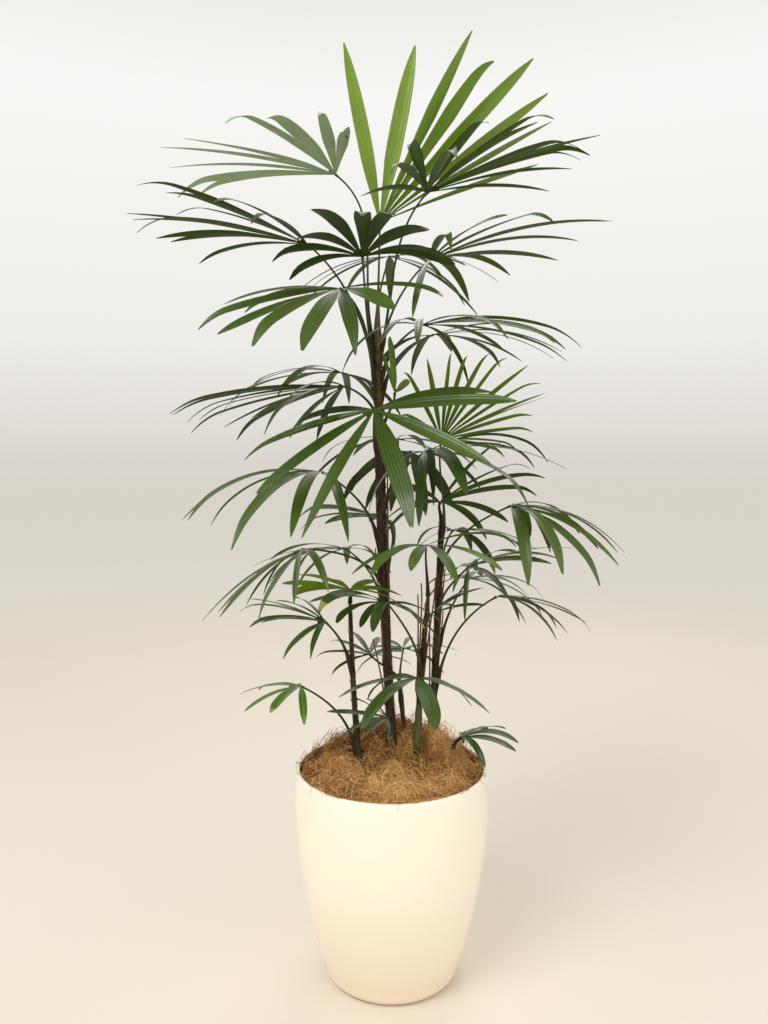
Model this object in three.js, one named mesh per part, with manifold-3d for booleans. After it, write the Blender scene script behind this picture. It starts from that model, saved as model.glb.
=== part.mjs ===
// A slender lady palm in a white tapered pot, in millimetres, +Z up.
// The origin is the centre of the pot's flat underside. +X is the plant's right, +Y its back.
// Six canes, one of them a young shoot, stand in potting mix under a mulch of coir. Every fan leaf
// is one solid: a stalk, a small hub and strap leaflets cut apart down to it.
import * as THREE from 'three';
import { mergeVertices } from 'three/addons/utils/BufferGeometryUtils.js';
import Module from 'manifold-3d';

const wasm = await Module();
wasm.setup();

const RAD = Math.PI / 180;
const NEAR = 1e-4; // corners this close are one
const UP = new THREE.Vector3(0, 0, 1);
const RIGHT = new THREE.Vector3(1, 0, 0);

// Pot
const POT_HEIGHT = 308;
const POT_FOOT_RADIUS = 84;
const POT_HEEL_RADIUS = 100; // where the rounded heel meets the side
const POT_HEEL_HEIGHT = 16;
const POT_BELLY_RADIUS = 142; // widest, a little below the rim
const POT_BELLY_HEIGHT = 262;
const POT_SHOULDER_HEIGHT = 286; // between belly and rim
const POT_RIM_RADIUS = 139;
const POT_WALL = 4;
const POT_FLOOR = 8;
const POT_LIP_ROUND = 1.6;
const POT_SIDES = 28;
const HEEL_STEPS = 2;
const SIDE_STEPS = 5;

// Potting mix and coir
const MIX_LEVEL = 280;
const MIX_FOOT_INSET = 6; // the mix's bottom edge is cut back from the rounded heel
const MIX_HEEL_INSET = 1.5;
const MULCH_EDGE_LEVEL = 299; // coir against the wall
const MULCH_RINGS = 5;
const MULCH_SIDES = 24;
const MULCH_BELOW_RIM = 3; // along the wall the coir stays this far below the rim
// Heaps in the coir: centre x, y, height, spread
const MULCH_HEAPS = [
  [0, 62, 34, 46],
  [62, 40, 22, 34],
  [-68, 34, 17, 34],
  [30, -52, 8, 40],
];

// Gap kept between neighbours
const GAP = 0.35;

// Canes: foot x, y; tip x, y, z; sideways bow at mid height x, y; radius at foot and tip
const CANES = {
  main: { foot: [5, 0], tip: [-20, 0, 944], bow: [-5, 0], radii: [5.8, 7.2] },
  left: { foot: [-45, -15], tip: [-60, -15, 552], bow: [-2, 0], radii: [4.8, 2.2] },
  middle: { foot: [35, -5], tip: [53, -5, 560], bow: [-2, 0], radii: [5.6, 3.6] },
  right: { foot: [59, 55], tip: [76, 55, 668], bow: [2, 0], radii: [5.2, 4] },
  back: { foot: [22, 26], tip: [14, 26, 418], bow: [2, 0], radii: [2.6, 2] },
  young: { foot: [88, 8], tip: [92, 4, 330], bow: [0, 0], radii: [2.6, 2.2] },
};
const CANE_SIDES = 8;
const CANE_STEPS = 6;
const SOCKET_DEPTH = 10; // how far the coir's hole is carried on below a cane's foot

// Leaf stalks
const STALK_RADII = [2.1, 1.5];
const STALK_SIDES = 5;
const STALK_STEPS = 5;
const STALK_LEAN = 12 * RAD; // away from the cane at the foot
const STALK_SPREAD = 35 * RAD; // stalks leave a cane straight towards the hub or this far beside it
const STALK_PULL = 0.33; // how far each end's direction holds, as a share of the reach
const HUB_RADIUS = 4.2;
const HUB_TURN = 20; // degrees, so that no leaflet's edge runs along a corner of its hub

// Fronds, one row each: name, cane, height of the stalk's foot, hub x y z, then in degrees heading
// (0 right, 90 back), rise and roll of the blade and the fan's first and last leaflet about the
// heading; count, length and width of the leaflets, droop, limpness of the outer leaflets, tint,
// and how the leaflets crowd to the fan's end (1 is even)
const FRONDS = [
  ['spear_top', 'main', 944, [-17, 0, 1096], 90, 88, 0, [11, -66], 8, 308, 23, 0.05, 1, 'new', 0.64],
  ['right_high', 'main', 926, [49, -40, 1124], 0, 15, -4, [-124, 10], 13, 232, 17, 0.1, 1, 'mid', 0.85],
  ['back_left_high', 'main', 934, [-86, 110, 1200], 188, 3, 0, [-14, 120], 11, 274, 17, 0.1, 1, 'pale', 1],
  ['centre_high', 'main', 918, [-41, -30, 1040], 270, 20, 0, [-80, 98], 10, 152, 21, 0.28, 1, 'dark', 1],
  ['left_high', 'main', 902, [-116, -30, 1056], 178, 17, 0, [-20, 74], 11, 232, 15, 0.14, 1, 'dark', 1],
  ['right_upper', 'main', 908, [58, 40, 1054], 5, 19, 0, [-150, 60], 12, 252, 15, 0.18, 2.2, 'mid', 1],
  ['mid_right', 'main', 884, [43, 4, 952], 8, 5, 0, [-140, 50], 10, 228, 12, 0.28, 1, 'mid', 1],
  ['mid_left', 'main', 872, [-71, -58, 991], 194, -8, -20, [-40, 145], 10, 200, 20, 0.16, 1, 'mid', 1],
  ['left_mid_dark', 'main', 812, [-66, -40, 861], 170, -7, 0, [-60, 80], 12, 228, 16, 0.15, 1, 'dark', 1],
  ['front_centre', 'main', 776, [-24, -90, 825], 268, -40, 14, [-120, 112], 8, 210, 21, 0.12, 1, 'mid', 1],
  ['left_lower_mid', 'main', 650, [-102, 14, 741], 175, 6, 0, [-25, 112], 7, 222, 20, 0.5, 1, 'mid', 1],
  ['left_low', 'main', 575, [-127, -40, 633], 190, -26, 0, [-55, 105], 8, 165, 13, 0.3, 1, 'mid', 1],
  ['left_crown', 'left', 552, [-60, -15, 572], 245, 35, 0, [-110, 100], 8, 105, 14, 0.2, 1, 'new', 1],
  ['left_low_fan', 'left', 468, [-95, -30, 528], 160, 22, 0, [-60, 100], 9, 118, 11, 0.22, 1, 'mid', 1],
  ['centre_low', 'middle', 450, [-7, -50, 559], 235, 25, 0, [-100, 110], 8, 118, 17, 0.4, 1, 'dark', 1],
  ['right_low', 'right', 520, [113, 0, 603], 10, 25, 0, [-110, 120], 9, 152, 13, 0.32, 1, 'mid', 1],
  ['centre_right_low', 'middle', 480, [56, -34, 540], 10, 35, 0, [-100, 60], 6, 88, 8, 0.2, 1, 'dark', 1],
  ['middle_crown', 'middle', 560, [50, -14, 636], 280, 4, 0, [-108, 122], 9, 132, 16, 0.4, 1, 'bright', 1],
  ['right_mid_big', 'right', 590, [173, 0, 692], 5, 2, 10, [-85, 60], 10, 174, 19, 0.6, 1, 'mid', 1],
  ['right_low_dark', 'right', 425, [154, 0, 559], 5, 0, 0, [-45, 55], 8, 140, 9, 0.4, 1, 'brown', 1],
  ['right_spiky', 'right', 652, [74, 26, 789], 300, 45, 0, [-50, 95], 15, 168, 8, 0.06, 1, 'bright', 1],
  ['right_centre', 'right', 668, [76, 76, 694], 320, 35, -10, [-115, 90], 11, 164, 14, 0.25, 1, 'mid', 1],
  ['centre_young', 'main', 800, [4, -35, 852], 200, 70, 0, [-50, 120], 6, 100, 12, 0.1, 1, 'bright', 1],
  ['centre_cluster', 'main', 700, [48, -14, 770], 0, 10, 0, [-125, 70], 9, 200, 18, 0.5, 1, 'dark', 1],
  ['low_front', 'middle', 424, [36, -60, 455], 260, 0, 0, [-125, 110], 6, 124, 24, 0.35, 1, 'mid', 1],
  ['low_left_small', 'left', 345, [-127, -60, 443], 180, 5, 0, [-70, 100], 6, 93, 14, 0.28, 1, 'bright', 1],
  ['low_centre_small', 'back', 418, [-32, 14, 470], 110, 15, 0, [-100, 90], 7, 85, 10, 0.15, 1, 'dark', 1],
  ['low_left_dark', 'main', 352, [-7, -36, 392], 175, 20, 0, [-65, 100], 8, 98, 10, 0.12, 1, 'dark', 1],
  ['low_right_small', 'young', 330, [103, -2, 350], 0, 20, 0, [-60, 80], 6, 92, 14, 0.45, 1, 'mid', 1],
  ['back_high', 'main', 892, [-2, 120, 1078], 80, 12, 0, [-105, 105], 10, 205, 14, 0.3, 1, 'mid', 1],
  ['back_right_upper', 'main', 862, [66, 112, 955], 50, 8, 0, [-95, 85], 10, 210, 14, 0.32, 1, 'dark', 1],
  ['back_left_mid', 'main', 842, [-76, 108, 895], 130, 8, 0, [-85, 95], 10, 205, 13, 0.35, 1, 'mid', 1],
  ['back_mid', 'main', 722, [6, 132, 792], 92, 5, 0, [-100, 100], 9, 180, 13, 0.4, 1, 'dark', 1],
  ['back_right_low', 'right', 480, [128, 134, 566], 55, 8, 0, [-85, 85], 9, 150, 11, 0.4, 1, 'mid', 1],
  ['back_left_low', 'main', 540, [-72, 108, 618], 140, 6, 0, [-90, 90], 9, 165, 12, 0.4, 1, 'mid', 1],
  ['back_centre', 'main', 706, [30, 92, 772], 85, -20, 0, [-100, 100], 8, 170, 18, 0.45, 1, 'dark', 1],
  ['centre_behind', 'main', 596, [-6, 46, 668], 178, 16, 0, [-95, 95], 8, 134, 16, 0.3, 1, 'mid', 1],
  ['right_behind', 'right', 560, [100, 122, 646], 40, 10, 0, [-100, 100], 7, 150, 14, 0.4, 1, 'dark', 1],
  ['back_low', 'back', 396, [20, 112, 456], 80, 10, 0, [-95, 95], 7, 105, 10, 0.35, 1, 'mid', 1],
];
// Fans whose leaflets turn about their own length, from none at the first to this at the last
const TWISTS = { spear_top: 96 };
const FROND_SEED = 1000;
const SEED_STEP = 17;

// Leaflets
const BLADE_BASE = 0.06; // width at the hub as a share of the full width
const BLADE_FULL = 0.45; // the share of the length where the full width is reached
const BLADE_TAPER = 0.62; // where the tip's taper starts
const TAPER_POWER = 2.2;
const SIDE_SHORTER = 0.22; // outer leaflets are this much shorter than the middle one
const SIDE_NARROWER = 0.25;
const LIFT_SPREAD = 12; // degrees between the highest and the lowest leaflet of a fan
const SHAKE = 0.5; // of the space between two leaflets
// The least and the span of what chance makes of a leaflet's length, width and droop
const LENGTH_RANGE = [0.93, 0.14];
const WIDTH_RANGE = [0.85, 0.3];
const DROOP_RANGE = [0.7, 0.6];
const SAG_GAIN = 1.9;
const SAG_POWER = 1.4;
const PATH_STEPS = 16; // steps along a leaflet's middle line
const BLADE_STATIONS = [0, 4, 9, 13, 16]; // the steps that carry a ring
const SHORT_STATIONS = [0, 5, 11, 16];
const SHORT_BLADE = 160;
const BLADE_THICKNESS = 0.012; // of the length
const THINNEST = 0.6; // of that thickness, where the blade is narrow
const BLADE_SIDES = 3;
// A three-sided ring whose corners are 1 from its centre
const RING_WIDTH = Math.sqrt(3);
const RING_DEPTH = 1.5;

// Room that fronds keep from each other
const CELL = 6;
const CELLS = 1024; // along each axis
const SAMPLE_STEP = 5;
const NARROW = 3; // a curve up to this radius is followed by its middle line alone
const MULCH_CLEARANCE = 7;
const POT_REACH = 150;
// A leaflet in another frond's way is tried again: turned, lifted (degrees) and shortened
const TRIES = [
  [0, 0, 1], [5, 0, 1], [-5, 0, 1], [0, 8, 1], [0, -8, 1], [9, 6, 1], [-9, 6, 1], [9, -6, 1],
  [-9, -6, 1], [0, 14, 1], [0, -14, 1], [14, 0, 0.9], [-14, 0, 0.9], [0, 10, 0.75], [0, -10, 0.75],
];

const TINTS = {
  new: [0x7fa23a, 0.42],
  bright: [0x5d8a3c, 0.42],
  mid: [0x3f6b3d, 0.38],
  dark: [0x2c5135, 0.36],
  pale: [0x7f9a7c, 0.5],
  brown: [0x4a5233, 0.5],
};

const vector = (list) => new THREE.Vector3(list[0], list[1], list[2]);
const mix = (a, b, t) => a + (b - a) * t;
const ranged = ([least, span], share) => least + span * share;

function paint(colour, roughness) {
  return new THREE.MeshStandardMaterial({ color: colour, roughness, metalness: 0 });
}

// Repeatable random numbers between 0 and 1
function randomFrom(seed) {
  let state = seed >>> 0;
  return () => {
    state = (state + 0x6d2b79f5) >>> 0;
    let t = state;
    t = Math.imul(t ^ (t >>> 15), t | 1);
    t ^= t + Math.imul(t ^ (t >>> 7), t | 61);
    return ((t ^ (t >>> 14)) >>> 0) / 4294967296;
  };
}

// Closed shapes

function merged(geometry) {
  geometry.deleteAttribute('normal');
  geometry.deleteAttribute('uv');
  return mergeVertices(geometry, NEAR);
}

function toSolid(geometry) {
  const vertProperties = new Float32Array(geometry.attributes.position.array);
  const triVerts = new Uint32Array(geometry.index.array);
  return new wasm.Manifold(new wasm.Mesh({ numProp: 3, vertProperties, triVerts }));
}

function toGeometry(solid) {
  const mesh = solid.getMesh();
  const geometry = new THREE.BufferGeometry();
  geometry.setAttribute('position', new THREE.BufferAttribute(mesh.vertProperties, 3));
  geometry.setIndex(new THREE.BufferAttribute(mesh.triVerts, 1));
  return geometry;
}

// A prism whose rings are laid on frames { at, side, up, half, thick }, pointed at the end or flat
function loft(sides, frames, pointed) {
  const steps = frames.length - 1;
  const prism = new THREE.CylinderGeometry(
    pointed ? 0 : 1, 1, steps, sides, steps, false, Math.PI, 2 * Math.PI,
  );
  const geometry = merged(prism);
  const points = geometry.attributes.position;
  for (let i = 0; i < points.count; i += 1) {
    const frame = frames[Math.round(points.getY(i) + steps / 2)];
    const x = points.getX(i);
    const z = points.getZ(i);
    const reach = Math.hypot(x, z);
    const place = frame.at.clone();
    if (reach > NEAR) {
      place.addScaledVector(frame.side, (x / reach) * frame.half);
      place.addScaledVector(frame.up, (z / reach) * frame.thick);
    }
    points.setXYZ(i, place.x, place.y, place.z);
  }
  return geometry;
}

// Round frames along a curve, for canes and stalks, with one corner of the rings on the side that
// corner points to. A foot that stands on something is cut level
function roundFrames(curve, steps, radii, corner, levelFoot) {
  const across = corner.clone().cross(UP).normalize();
  const frames = [];
  for (let k = 0; k <= steps; k += 1) {
    const t = k / steps;
    const along = k === 0 && levelFoot ? UP : curve.getTangent(t);
    const side = across.clone().addScaledVector(along, -across.dot(along)).normalize();
    const up = side.clone().cross(along).normalize();
    const radius = mix(radii[0], radii[1], t);
    frames.push({ at: curve.getPoint(t), side, up, half: radius, thick: radius });
  }
  return frames;
}

// Pot

function potOutline() {
  const outer = [new THREE.Vector2(0, 0), new THREE.Vector2(POT_FOOT_RADIUS, 0)];
  for (let k = 1; k <= HEEL_STEPS; k += 1) {
    const turn = (k / HEEL_STEPS) * 90 * RAD;
    outer.push(new THREE.Vector2(
      mix(POT_FOOT_RADIUS, POT_HEEL_RADIUS, Math.sin(turn)),
      POT_HEEL_HEIGHT * (1 - Math.cos(turn)),
    ));
  }
  for (let k = 1; k <= SIDE_STEPS; k += 1) {
    const z = mix(POT_HEEL_HEIGHT, POT_BELLY_HEIGHT, k / SIDE_STEPS);
    outer.push(new THREE.Vector2(potRadius(z), z));
  }
  const lipBottom = POT_HEIGHT - POT_LIP_ROUND;
  outer.push(new THREE.Vector2(potRadius(POT_SHOULDER_HEIGHT), POT_SHOULDER_HEIGHT));
  outer.push(new THREE.Vector2(potRadius(lipBottom), lipBottom));
  outer.push(new THREE.Vector2(POT_RIM_RADIUS - POT_LIP_ROUND, POT_HEIGHT));
  const inner = [
    new THREE.Vector2(POT_RIM_RADIUS - POT_WALL, lipBottom),
    new THREE.Vector2(potRadius(POT_SHOULDER_HEIGHT) - POT_WALL, POT_SHOULDER_HEIGHT),
  ];
  for (let k = SIDE_STEPS; k >= 0; k -= 1) {
    const z = mix(POT_HEEL_HEIGHT, POT_BELLY_HEIGHT, k / SIDE_STEPS);
    inner.push(new THREE.Vector2(potRadius(z) - POT_WALL, z));
  }
  inner.push(new THREE.Vector2(POT_FOOT_RADIUS, POT_FLOOR));
  inner.push(new THREE.Vector2(0, POT_FLOOR));
  return outer.concat(inner);
}

// Outer radius of the pot's side at a height above the heel
function potRadius(z) {
  if (z <= POT_BELLY_HEIGHT) {
    const t = (z - POT_HEEL_HEIGHT) / (POT_BELLY_HEIGHT - POT_HEEL_HEIGHT);
    return mix(POT_HEEL_RADIUS, POT_BELLY_RADIUS, 1 - (1 - t) ** 2);
  }
  const t = (z - POT_BELLY_HEIGHT) / (POT_HEIGHT - POT_BELLY_HEIGHT);
  return mix(POT_BELLY_RADIUS, POT_RIM_RADIUS, t ** 2);
}

// A lathed solid stands along +Y, so it is turned to stand along +Z
function lathe(outline, sides) {
  const geometry = new THREE.LatheGeometry(outline, sides);
  geometry.rotateX(Math.PI / 2);
  return merged(geometry);
}

// Radius of what fills the pot, inside the wall with its gap. A flat-sided ring reaches less far
// between its corners than at them, so both have the same number of sides
function fillRadius(z) {
  return potRadius(z) - POT_WALL - GAP / Math.cos(Math.PI / POT_SIDES);
}

function mixOutline() {
  const bottom = POT_FLOOR + GAP;
  const outline = [
    new THREE.Vector2(0, bottom),
    new THREE.Vector2(POT_FOOT_RADIUS - MIX_FOOT_INSET, bottom),
    new THREE.Vector2(fillRadius(POT_HEEL_HEIGHT) - MIX_HEEL_INSET, POT_HEEL_HEIGHT + MIX_HEEL_INSET),
  ];
  for (let k = 1; k <= SIDE_STEPS; k += 1) {
    const z = mix(POT_HEEL_HEIGHT, POT_BELLY_HEIGHT, k / SIDE_STEPS);
    outline.push(new THREE.Vector2(fillRadius(z), z));
  }
  outline.push(new THREE.Vector2(fillRadius(MIX_LEVEL), MIX_LEVEL));
  outline.push(new THREE.Vector2(0, MIX_LEVEL));
  return outline;
}

// Top of the coir
function mulchLevel(x, y) {
  let level = MULCH_EDGE_LEVEL;
  for (const [cx, cy, height, spread] of MULCH_HEAPS) {
    level += height * Math.exp(-((x - cx) ** 2 + (y - cy) ** 2) / (2 * spread * spread));
  }
  return level;
}

function mulchSolid() {
  const radius = (POT_RIM_RADIUS - POT_WALL) * Math.cos(Math.PI / POT_SIDES) - GAP;
  const outline = [new THREE.Vector2(0, MIX_LEVEL + GAP), new THREE.Vector2(radius, MIX_LEVEL + GAP)];
  for (let k = MULCH_RINGS; k >= 0; k -= 1) {
    outline.push(new THREE.Vector2((radius * k) / MULCH_RINGS, MULCH_EDGE_LEVEL));
  }
  const geometry = lathe(outline, MULCH_SIDES);
  const points = geometry.attributes.position;
  for (let i = 0; i < points.count; i += 1) {
    if (points.getZ(i) > MULCH_EDGE_LEVEL - NEAR) {
      const edge = Math.hypot(points.getX(i), points.getY(i)) / radius;
      const level = mulchLevel(points.getX(i), points.getY(i));
      points.setZ(i, mix(level, Math.min(level, POT_HEIGHT - MULCH_BELOW_RIM), edge ** 4));
    }
  }
  return toSolid(geometry);
}

// Canes

// A cane stands on the potting mix
function caneCurve(cane) {
  const foot = new THREE.Vector3(cane.foot[0], cane.foot[1], MIX_LEVEL + GAP);
  const tip = vector(cane.tip);
  const middle = foot.clone().lerp(tip, 0.5);
  middle.x += 2 * cane.bow[0];
  middle.y += 2 * cane.bow[1];
  return new THREE.QuadraticBezierCurve3(foot, middle, tip);
}

// The hole that a cane passes through in the coir, carried on below its foot
function socketSolid(cane, curve) {
  const wider = cane.radii.map((radius) => radius + GAP / Math.cos(Math.PI / CANE_SIDES));
  const rings = roundFrames(curve, CANE_STEPS, wider, RIGHT, true);
  const down = rings[0].at.clone().sub(rings[1].at).normalize();
  rings[0].at.addScaledVector(down, SOCKET_DEPTH);
  return toSolid(loft(CANE_SIDES, rings, false));
}

function caneShare(cane, z) {
  const from = MIX_LEVEL + GAP;
  return Math.min(1, Math.max(0, (z - from) / (cane.tip[2] - from)));
}

// How far a cane's flat-sided surface lies from its axis in a direction
function caneReach(radius, toward) {
  const corner = (2 * Math.PI) / CANE_SIDES;
  const fromFlat = toward - corner * (Math.floor(toward / corner) + 0.5);
  return (radius * Math.cos(corner / 2)) / Math.cos(fromFlat);
}

// Leaf stalks: from beside the cane, or from its tip, up and over to the hub
function stalkOf(row, order) {
  const [, caneName, at, hubPlace, heading, rise] = row;
  const cane = CANES[caneName];
  const hub = vector(hubPlace);
  const onAxis = caneCurve(cane).getPoint(caneShare(cane, at));
  const foot = onAxis.clone();
  const outward = new THREE.Vector3();
  const onTip = at >= cane.tip[2];
  if (onTip) {
    foot.z += GAP;
  } else {
    const side = ((order % 3) - 1) * STALK_SPREAD;
    const toward = Math.atan2(hub.y - onAxis.y, hub.x - onAxis.x) + side;
    outward.set(Math.cos(toward), Math.sin(toward), 0);
    const radius = mix(cane.radii[0], cane.radii[1], caneShare(cane, at));
    const touching = caneReach(radius, toward) + STALK_RADII[0] * Math.cos(STALK_LEAN);
    foot.addScaledVector(outward, touching + GAP);
  }
  const reach = foot.distanceTo(hub);
  const [ahead] = bladeAxes(heading, rise, 0);
  const arrival = hub.clone().sub(foot).normalize().add(ahead).normalize();
  const pull = reach * STALK_PULL;
  const leave = foot.clone().addScaledVector(outward, pull * Math.tan(STALK_LEAN));
  leave.z += pull;
  const arrive = hub.clone().addScaledVector(arrival, -pull);
  const curve = new THREE.CubicBezierCurve3(foot, leave, arrive, hub);
  return { curve, corner: onTip ? RIGHT : outward.negate(), levelFoot: onTip };
}

// Fronds

// The blade's own axes: ahead along the heading, left across it, and up out of its face
function bladeAxes(heading, rise, roll) {
  const h = heading * RAD;
  const r = rise * RAD;
  const o = roll * RAD;
  const ahead = new THREE.Vector3(Math.cos(h) * Math.cos(r), Math.sin(h) * Math.cos(r), Math.sin(r));
  const level = new THREE.Vector3(-Math.sin(h), Math.cos(h), 0);
  const over = ahead.clone().cross(level);
  const left = level.clone().multiplyScalar(Math.cos(o)).addScaledVector(over, Math.sin(o));
  return [ahead, left, ahead.clone().cross(left)];
}

// Width along a leaflet as a share of its full width
function bladeWidth(u) {
  const opening = BLADE_BASE + (1 - BLADE_BASE) * Math.sin(Math.min(u / BLADE_FULL, 1) * Math.PI / 2);
  if (u <= BLADE_TAPER) return opening;
  const t = (u - BLADE_TAPER) / (1 - BLADE_TAPER);
  return opening * Math.sqrt(Math.max(0, 1 - t ** TAPER_POWER));
}

// A frond's leaflets before any is moved out of another's way
function fanOf(row, order) {
  const [name, , , , , , , [first, last], count, length, width, droop, limp, , crowd] = row;
  const random = randomFrom(FROND_SEED + SEED_STEP * order);
  const leaflets = [];
  for (let i = 0; i < count; i += 1) {
    const t = (2 * i) / (count - 1) - 1;
    const shake = random() - 0.5;
    const shift = i > 0 && i < count - 1 ? SHAKE * shake : 0;
    leaflets.push({
      turn: mix(first, last, ((i + shift) / (count - 1)) ** crowd),
      lift: (random() - 0.5) * LIFT_SPREAD,
      length: length * (1 - SIDE_SHORTER * t * t) * ranged(LENGTH_RANGE, random()),
      width: width * (1 - SIDE_NARROWER * t * t) * ranged(WIDTH_RANGE, random()),
      droop: droop * ranged(DROOP_RANGE, random()) * (1 + limp * t ** 4),
      twist: ((TWISTS[name] ?? 0) * (t + 1)) / 2,
    });
  }
  return leaflets;
}

// A leaflet's middle line: it starts in the fan's plane and sags towards its tip
function leafletPath(row, leaflet, [turnMore, liftMore, share]) {
  const [, , , hub, heading, rise, roll] = row;
  const [ahead, left, face] = bladeAxes(heading, rise, roll);
  const turn = (leaflet.turn + turnMore) * RAD;
  const lift = (leaflet.lift + liftMore) * RAD;
  const start = ahead.clone().multiplyScalar(Math.cos(turn)).addScaledVector(left, Math.sin(turn));
  start.multiplyScalar(Math.cos(lift)).addScaledVector(face, Math.sin(lift)).normalize();
  const twist = leaflet.twist * RAD;
  const turned = start.clone().cross(face).multiplyScalar(Math.sin(twist));
  turned.addScaledVector(face, Math.cos(twist));
  const step = (leaflet.length * share) / PATH_STEPS;
  const path = [{ at: vector(hub), along: start.clone() }];
  for (let k = 0; k < PATH_STEPS; k += 1) {
    const u = (k + 0.5) / PATH_STEPS;
    const along = start.clone();
    along.z -= leaflet.droop * SAG_GAIN * u ** SAG_POWER;
    along.normalize();
    path.push({ at: path[k].at.clone().addScaledVector(along, step), along });
  }
  return { path, face: turned, width: leaflet.width, length: leaflet.length * share };
}

// The space that each frond takes, in cubes of CELL
const taken = new Map();

function cellKey(x, y, z) {
  const middle = CELLS / 2;
  return ((x + middle) * CELLS + (y + middle)) * CELLS + z + middle;
}

function claim(points, owner) {
  for (const p of points) {
    const key = cellKey(Math.floor(p.x / CELL), Math.floor(p.y / CELL), Math.floor(p.z / CELL));
    if (!taken.has(key)) taken.set(key, owner);
  }
}

function isFree(points, owner) {
  for (const p of points) {
    if (Math.hypot(p.x, p.y) < POT_REACH && p.z < mulchLevel(p.x, p.y) + MULCH_CLEARANCE) return false;
    const x = Math.floor(p.x / CELL);
    const y = Math.floor(p.y / CELL);
    const z = Math.floor(p.z / CELL);
    for (let n = 0; n < 27; n += 1) {
      const key = cellKey(x + (n % 3) - 1, y + (Math.floor(n / 3) % 3) - 1, z + Math.floor(n / 9) - 1);
      const who = taken.get(key);
      if (who !== undefined && who !== owner) return false;
    }
  }
  return true;
}

function leafletPoints({ path, face, width, length }) {
  const points = [];
  const between = Math.max(1, Math.ceil(length / PATH_STEPS / SAMPLE_STEP));
  for (let k = 0; k < PATH_STEPS; k += 1) {
    for (let j = 0; j < between; j += 1) {
      const u = (k + j / between) / PATH_STEPS;
      const middle = path[k].at.clone().lerp(path[k + 1].at, j / between);
      const side = path[k + 1].along.clone().cross(face).normalize();
      for (const across of [-0.5, -0.25, 0, 0.25, 0.5]) {
        points.push(middle.clone().addScaledVector(side, across * width * bladeWidth(u)));
      }
    }
  }
  points.push(path[PATH_STEPS].at.clone());
  return points;
}

function curvePoints(curve, radius) {
  const points = [];
  const count = Math.ceil(curve.getLength() / SAMPLE_STEP);
  for (let k = 0; k <= count; k += 1) {
    const middle = curve.getPoint(k / count);
    points.push(middle);
    for (let q = 0; q < 4 && radius > NARROW; q += 1) {
      const turn = q * 90 * RAD;
      points.push(middle.clone().add(vector([Math.cos(turn) * radius, Math.sin(turn) * radius, 0])));
    }
  }
  return points;
}

function leafletSolid({ path, face, width, length }) {
  const stations = length < SHORT_BLADE ? SHORT_STATIONS : BLADE_STATIONS;
  const frames = stations.map((k) => {
    const u = k / PATH_STEPS;
    const next = path[Math.min(k + 1, PATH_STEPS)].along;
    const along = path[Math.max(k, 1)].along.clone().add(next).normalize();
    const side = along.clone().cross(face).normalize();
    const up = side.clone().cross(along).normalize();
    const share = bladeWidth(u);
    return {
      at: path[k].at,
      side,
      up,
      half: (width * share) / RING_WIDTH,
      thick: (BLADE_THICKNESS * length * Math.max(THINNEST, Math.sqrt(share))) / RING_DEPTH,
    };
  });
  return toSolid(loft(BLADE_SIDES, frames, true));
}

function frondSolid(stalk, hub, leaflets) {
  const ball = merged(new THREE.OctahedronGeometry(HUB_RADIUS));
  ball.rotateZ(HUB_TURN * RAD);
  ball.translate(hub[0], hub[1], hub[2]);
  const rings = roundFrames(stalk.curve, STALK_STEPS, STALK_RADII, stalk.corner, stalk.levelFoot);
  let solid = toSolid(loft(STALK_SIDES, rings, false));
  solid = solid.add(toSolid(ball));
  for (const leaflet of leaflets) solid = solid.add(leafletSolid(leaflet));
  return solid;
}

// Everything together

const palm = new THREE.Group();

function place(name, geometry, colour, roughness) {
  const mesh = new THREE.Mesh(geometry, paint(colour, roughness));
  mesh.name = name;
  palm.add(mesh);
}

place('pot', lathe(potOutline(), POT_SIDES), 0xf6f0e4, 0.3);
place('potting_mix', lathe(mixOutline(), POT_SIDES), 0x3d2c20, 0.95);

let mulch = mulchSolid();
for (const [name, cane] of Object.entries(CANES)) {
  const curve = caneCurve(cane);
  claim(curvePoints(curve, cane.radii[0]), name);
  const rings = roundFrames(curve, CANE_STEPS, cane.radii, RIGHT, true);
  place(`cane_${name}`, loft(CANE_SIDES, rings, false), 0x3a2f26, 0.8);
  mulch = mulch.subtract(socketSolid(cane, curve));
}
place('coir_mulch', toGeometry(mulch), 0xa5763f, 0.95);

const stalks = FRONDS.map((row, order) => stalkOf(row, order));
FRONDS.forEach((row, order) => claim(curvePoints(stalks[order].curve, STALK_RADII[0]), row[0]));

FRONDS.forEach((row, order) => {
  const [name, , , hub] = row;
  const grown = [];
  for (const leaflet of fanOf(row, order)) {
    for (const attempt of TRIES) {
      const line = leafletPath(row, leaflet, attempt);
      const points = leafletPoints(line);
      if (isFree(points, name)) {
        claim(points, name);
        grown.push(line);
        break;
      }
    }
  }
  const [colour, roughness] = TINTS[row[13]];
  place(`frond_${name}`, toGeometry(frondSolid(stalks[order], hub, grown)), colour, roughness);
});

export default palm;
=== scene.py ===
# The looks of a slender lady palm in a white pot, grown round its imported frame.
# Sizes are in millimetres and angles in degrees, in the frame's own axes: +X is the plant's
# right, +Y its back and +Z up. A mesh is turned to metres where it is made.
from math import atan2, ceil, cos, degrees, pi, radians, sin, sqrt, tan

import bpy
import numpy as np
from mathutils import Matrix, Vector
from numpy.linalg import norm
from numpy.random import default_rng


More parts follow.
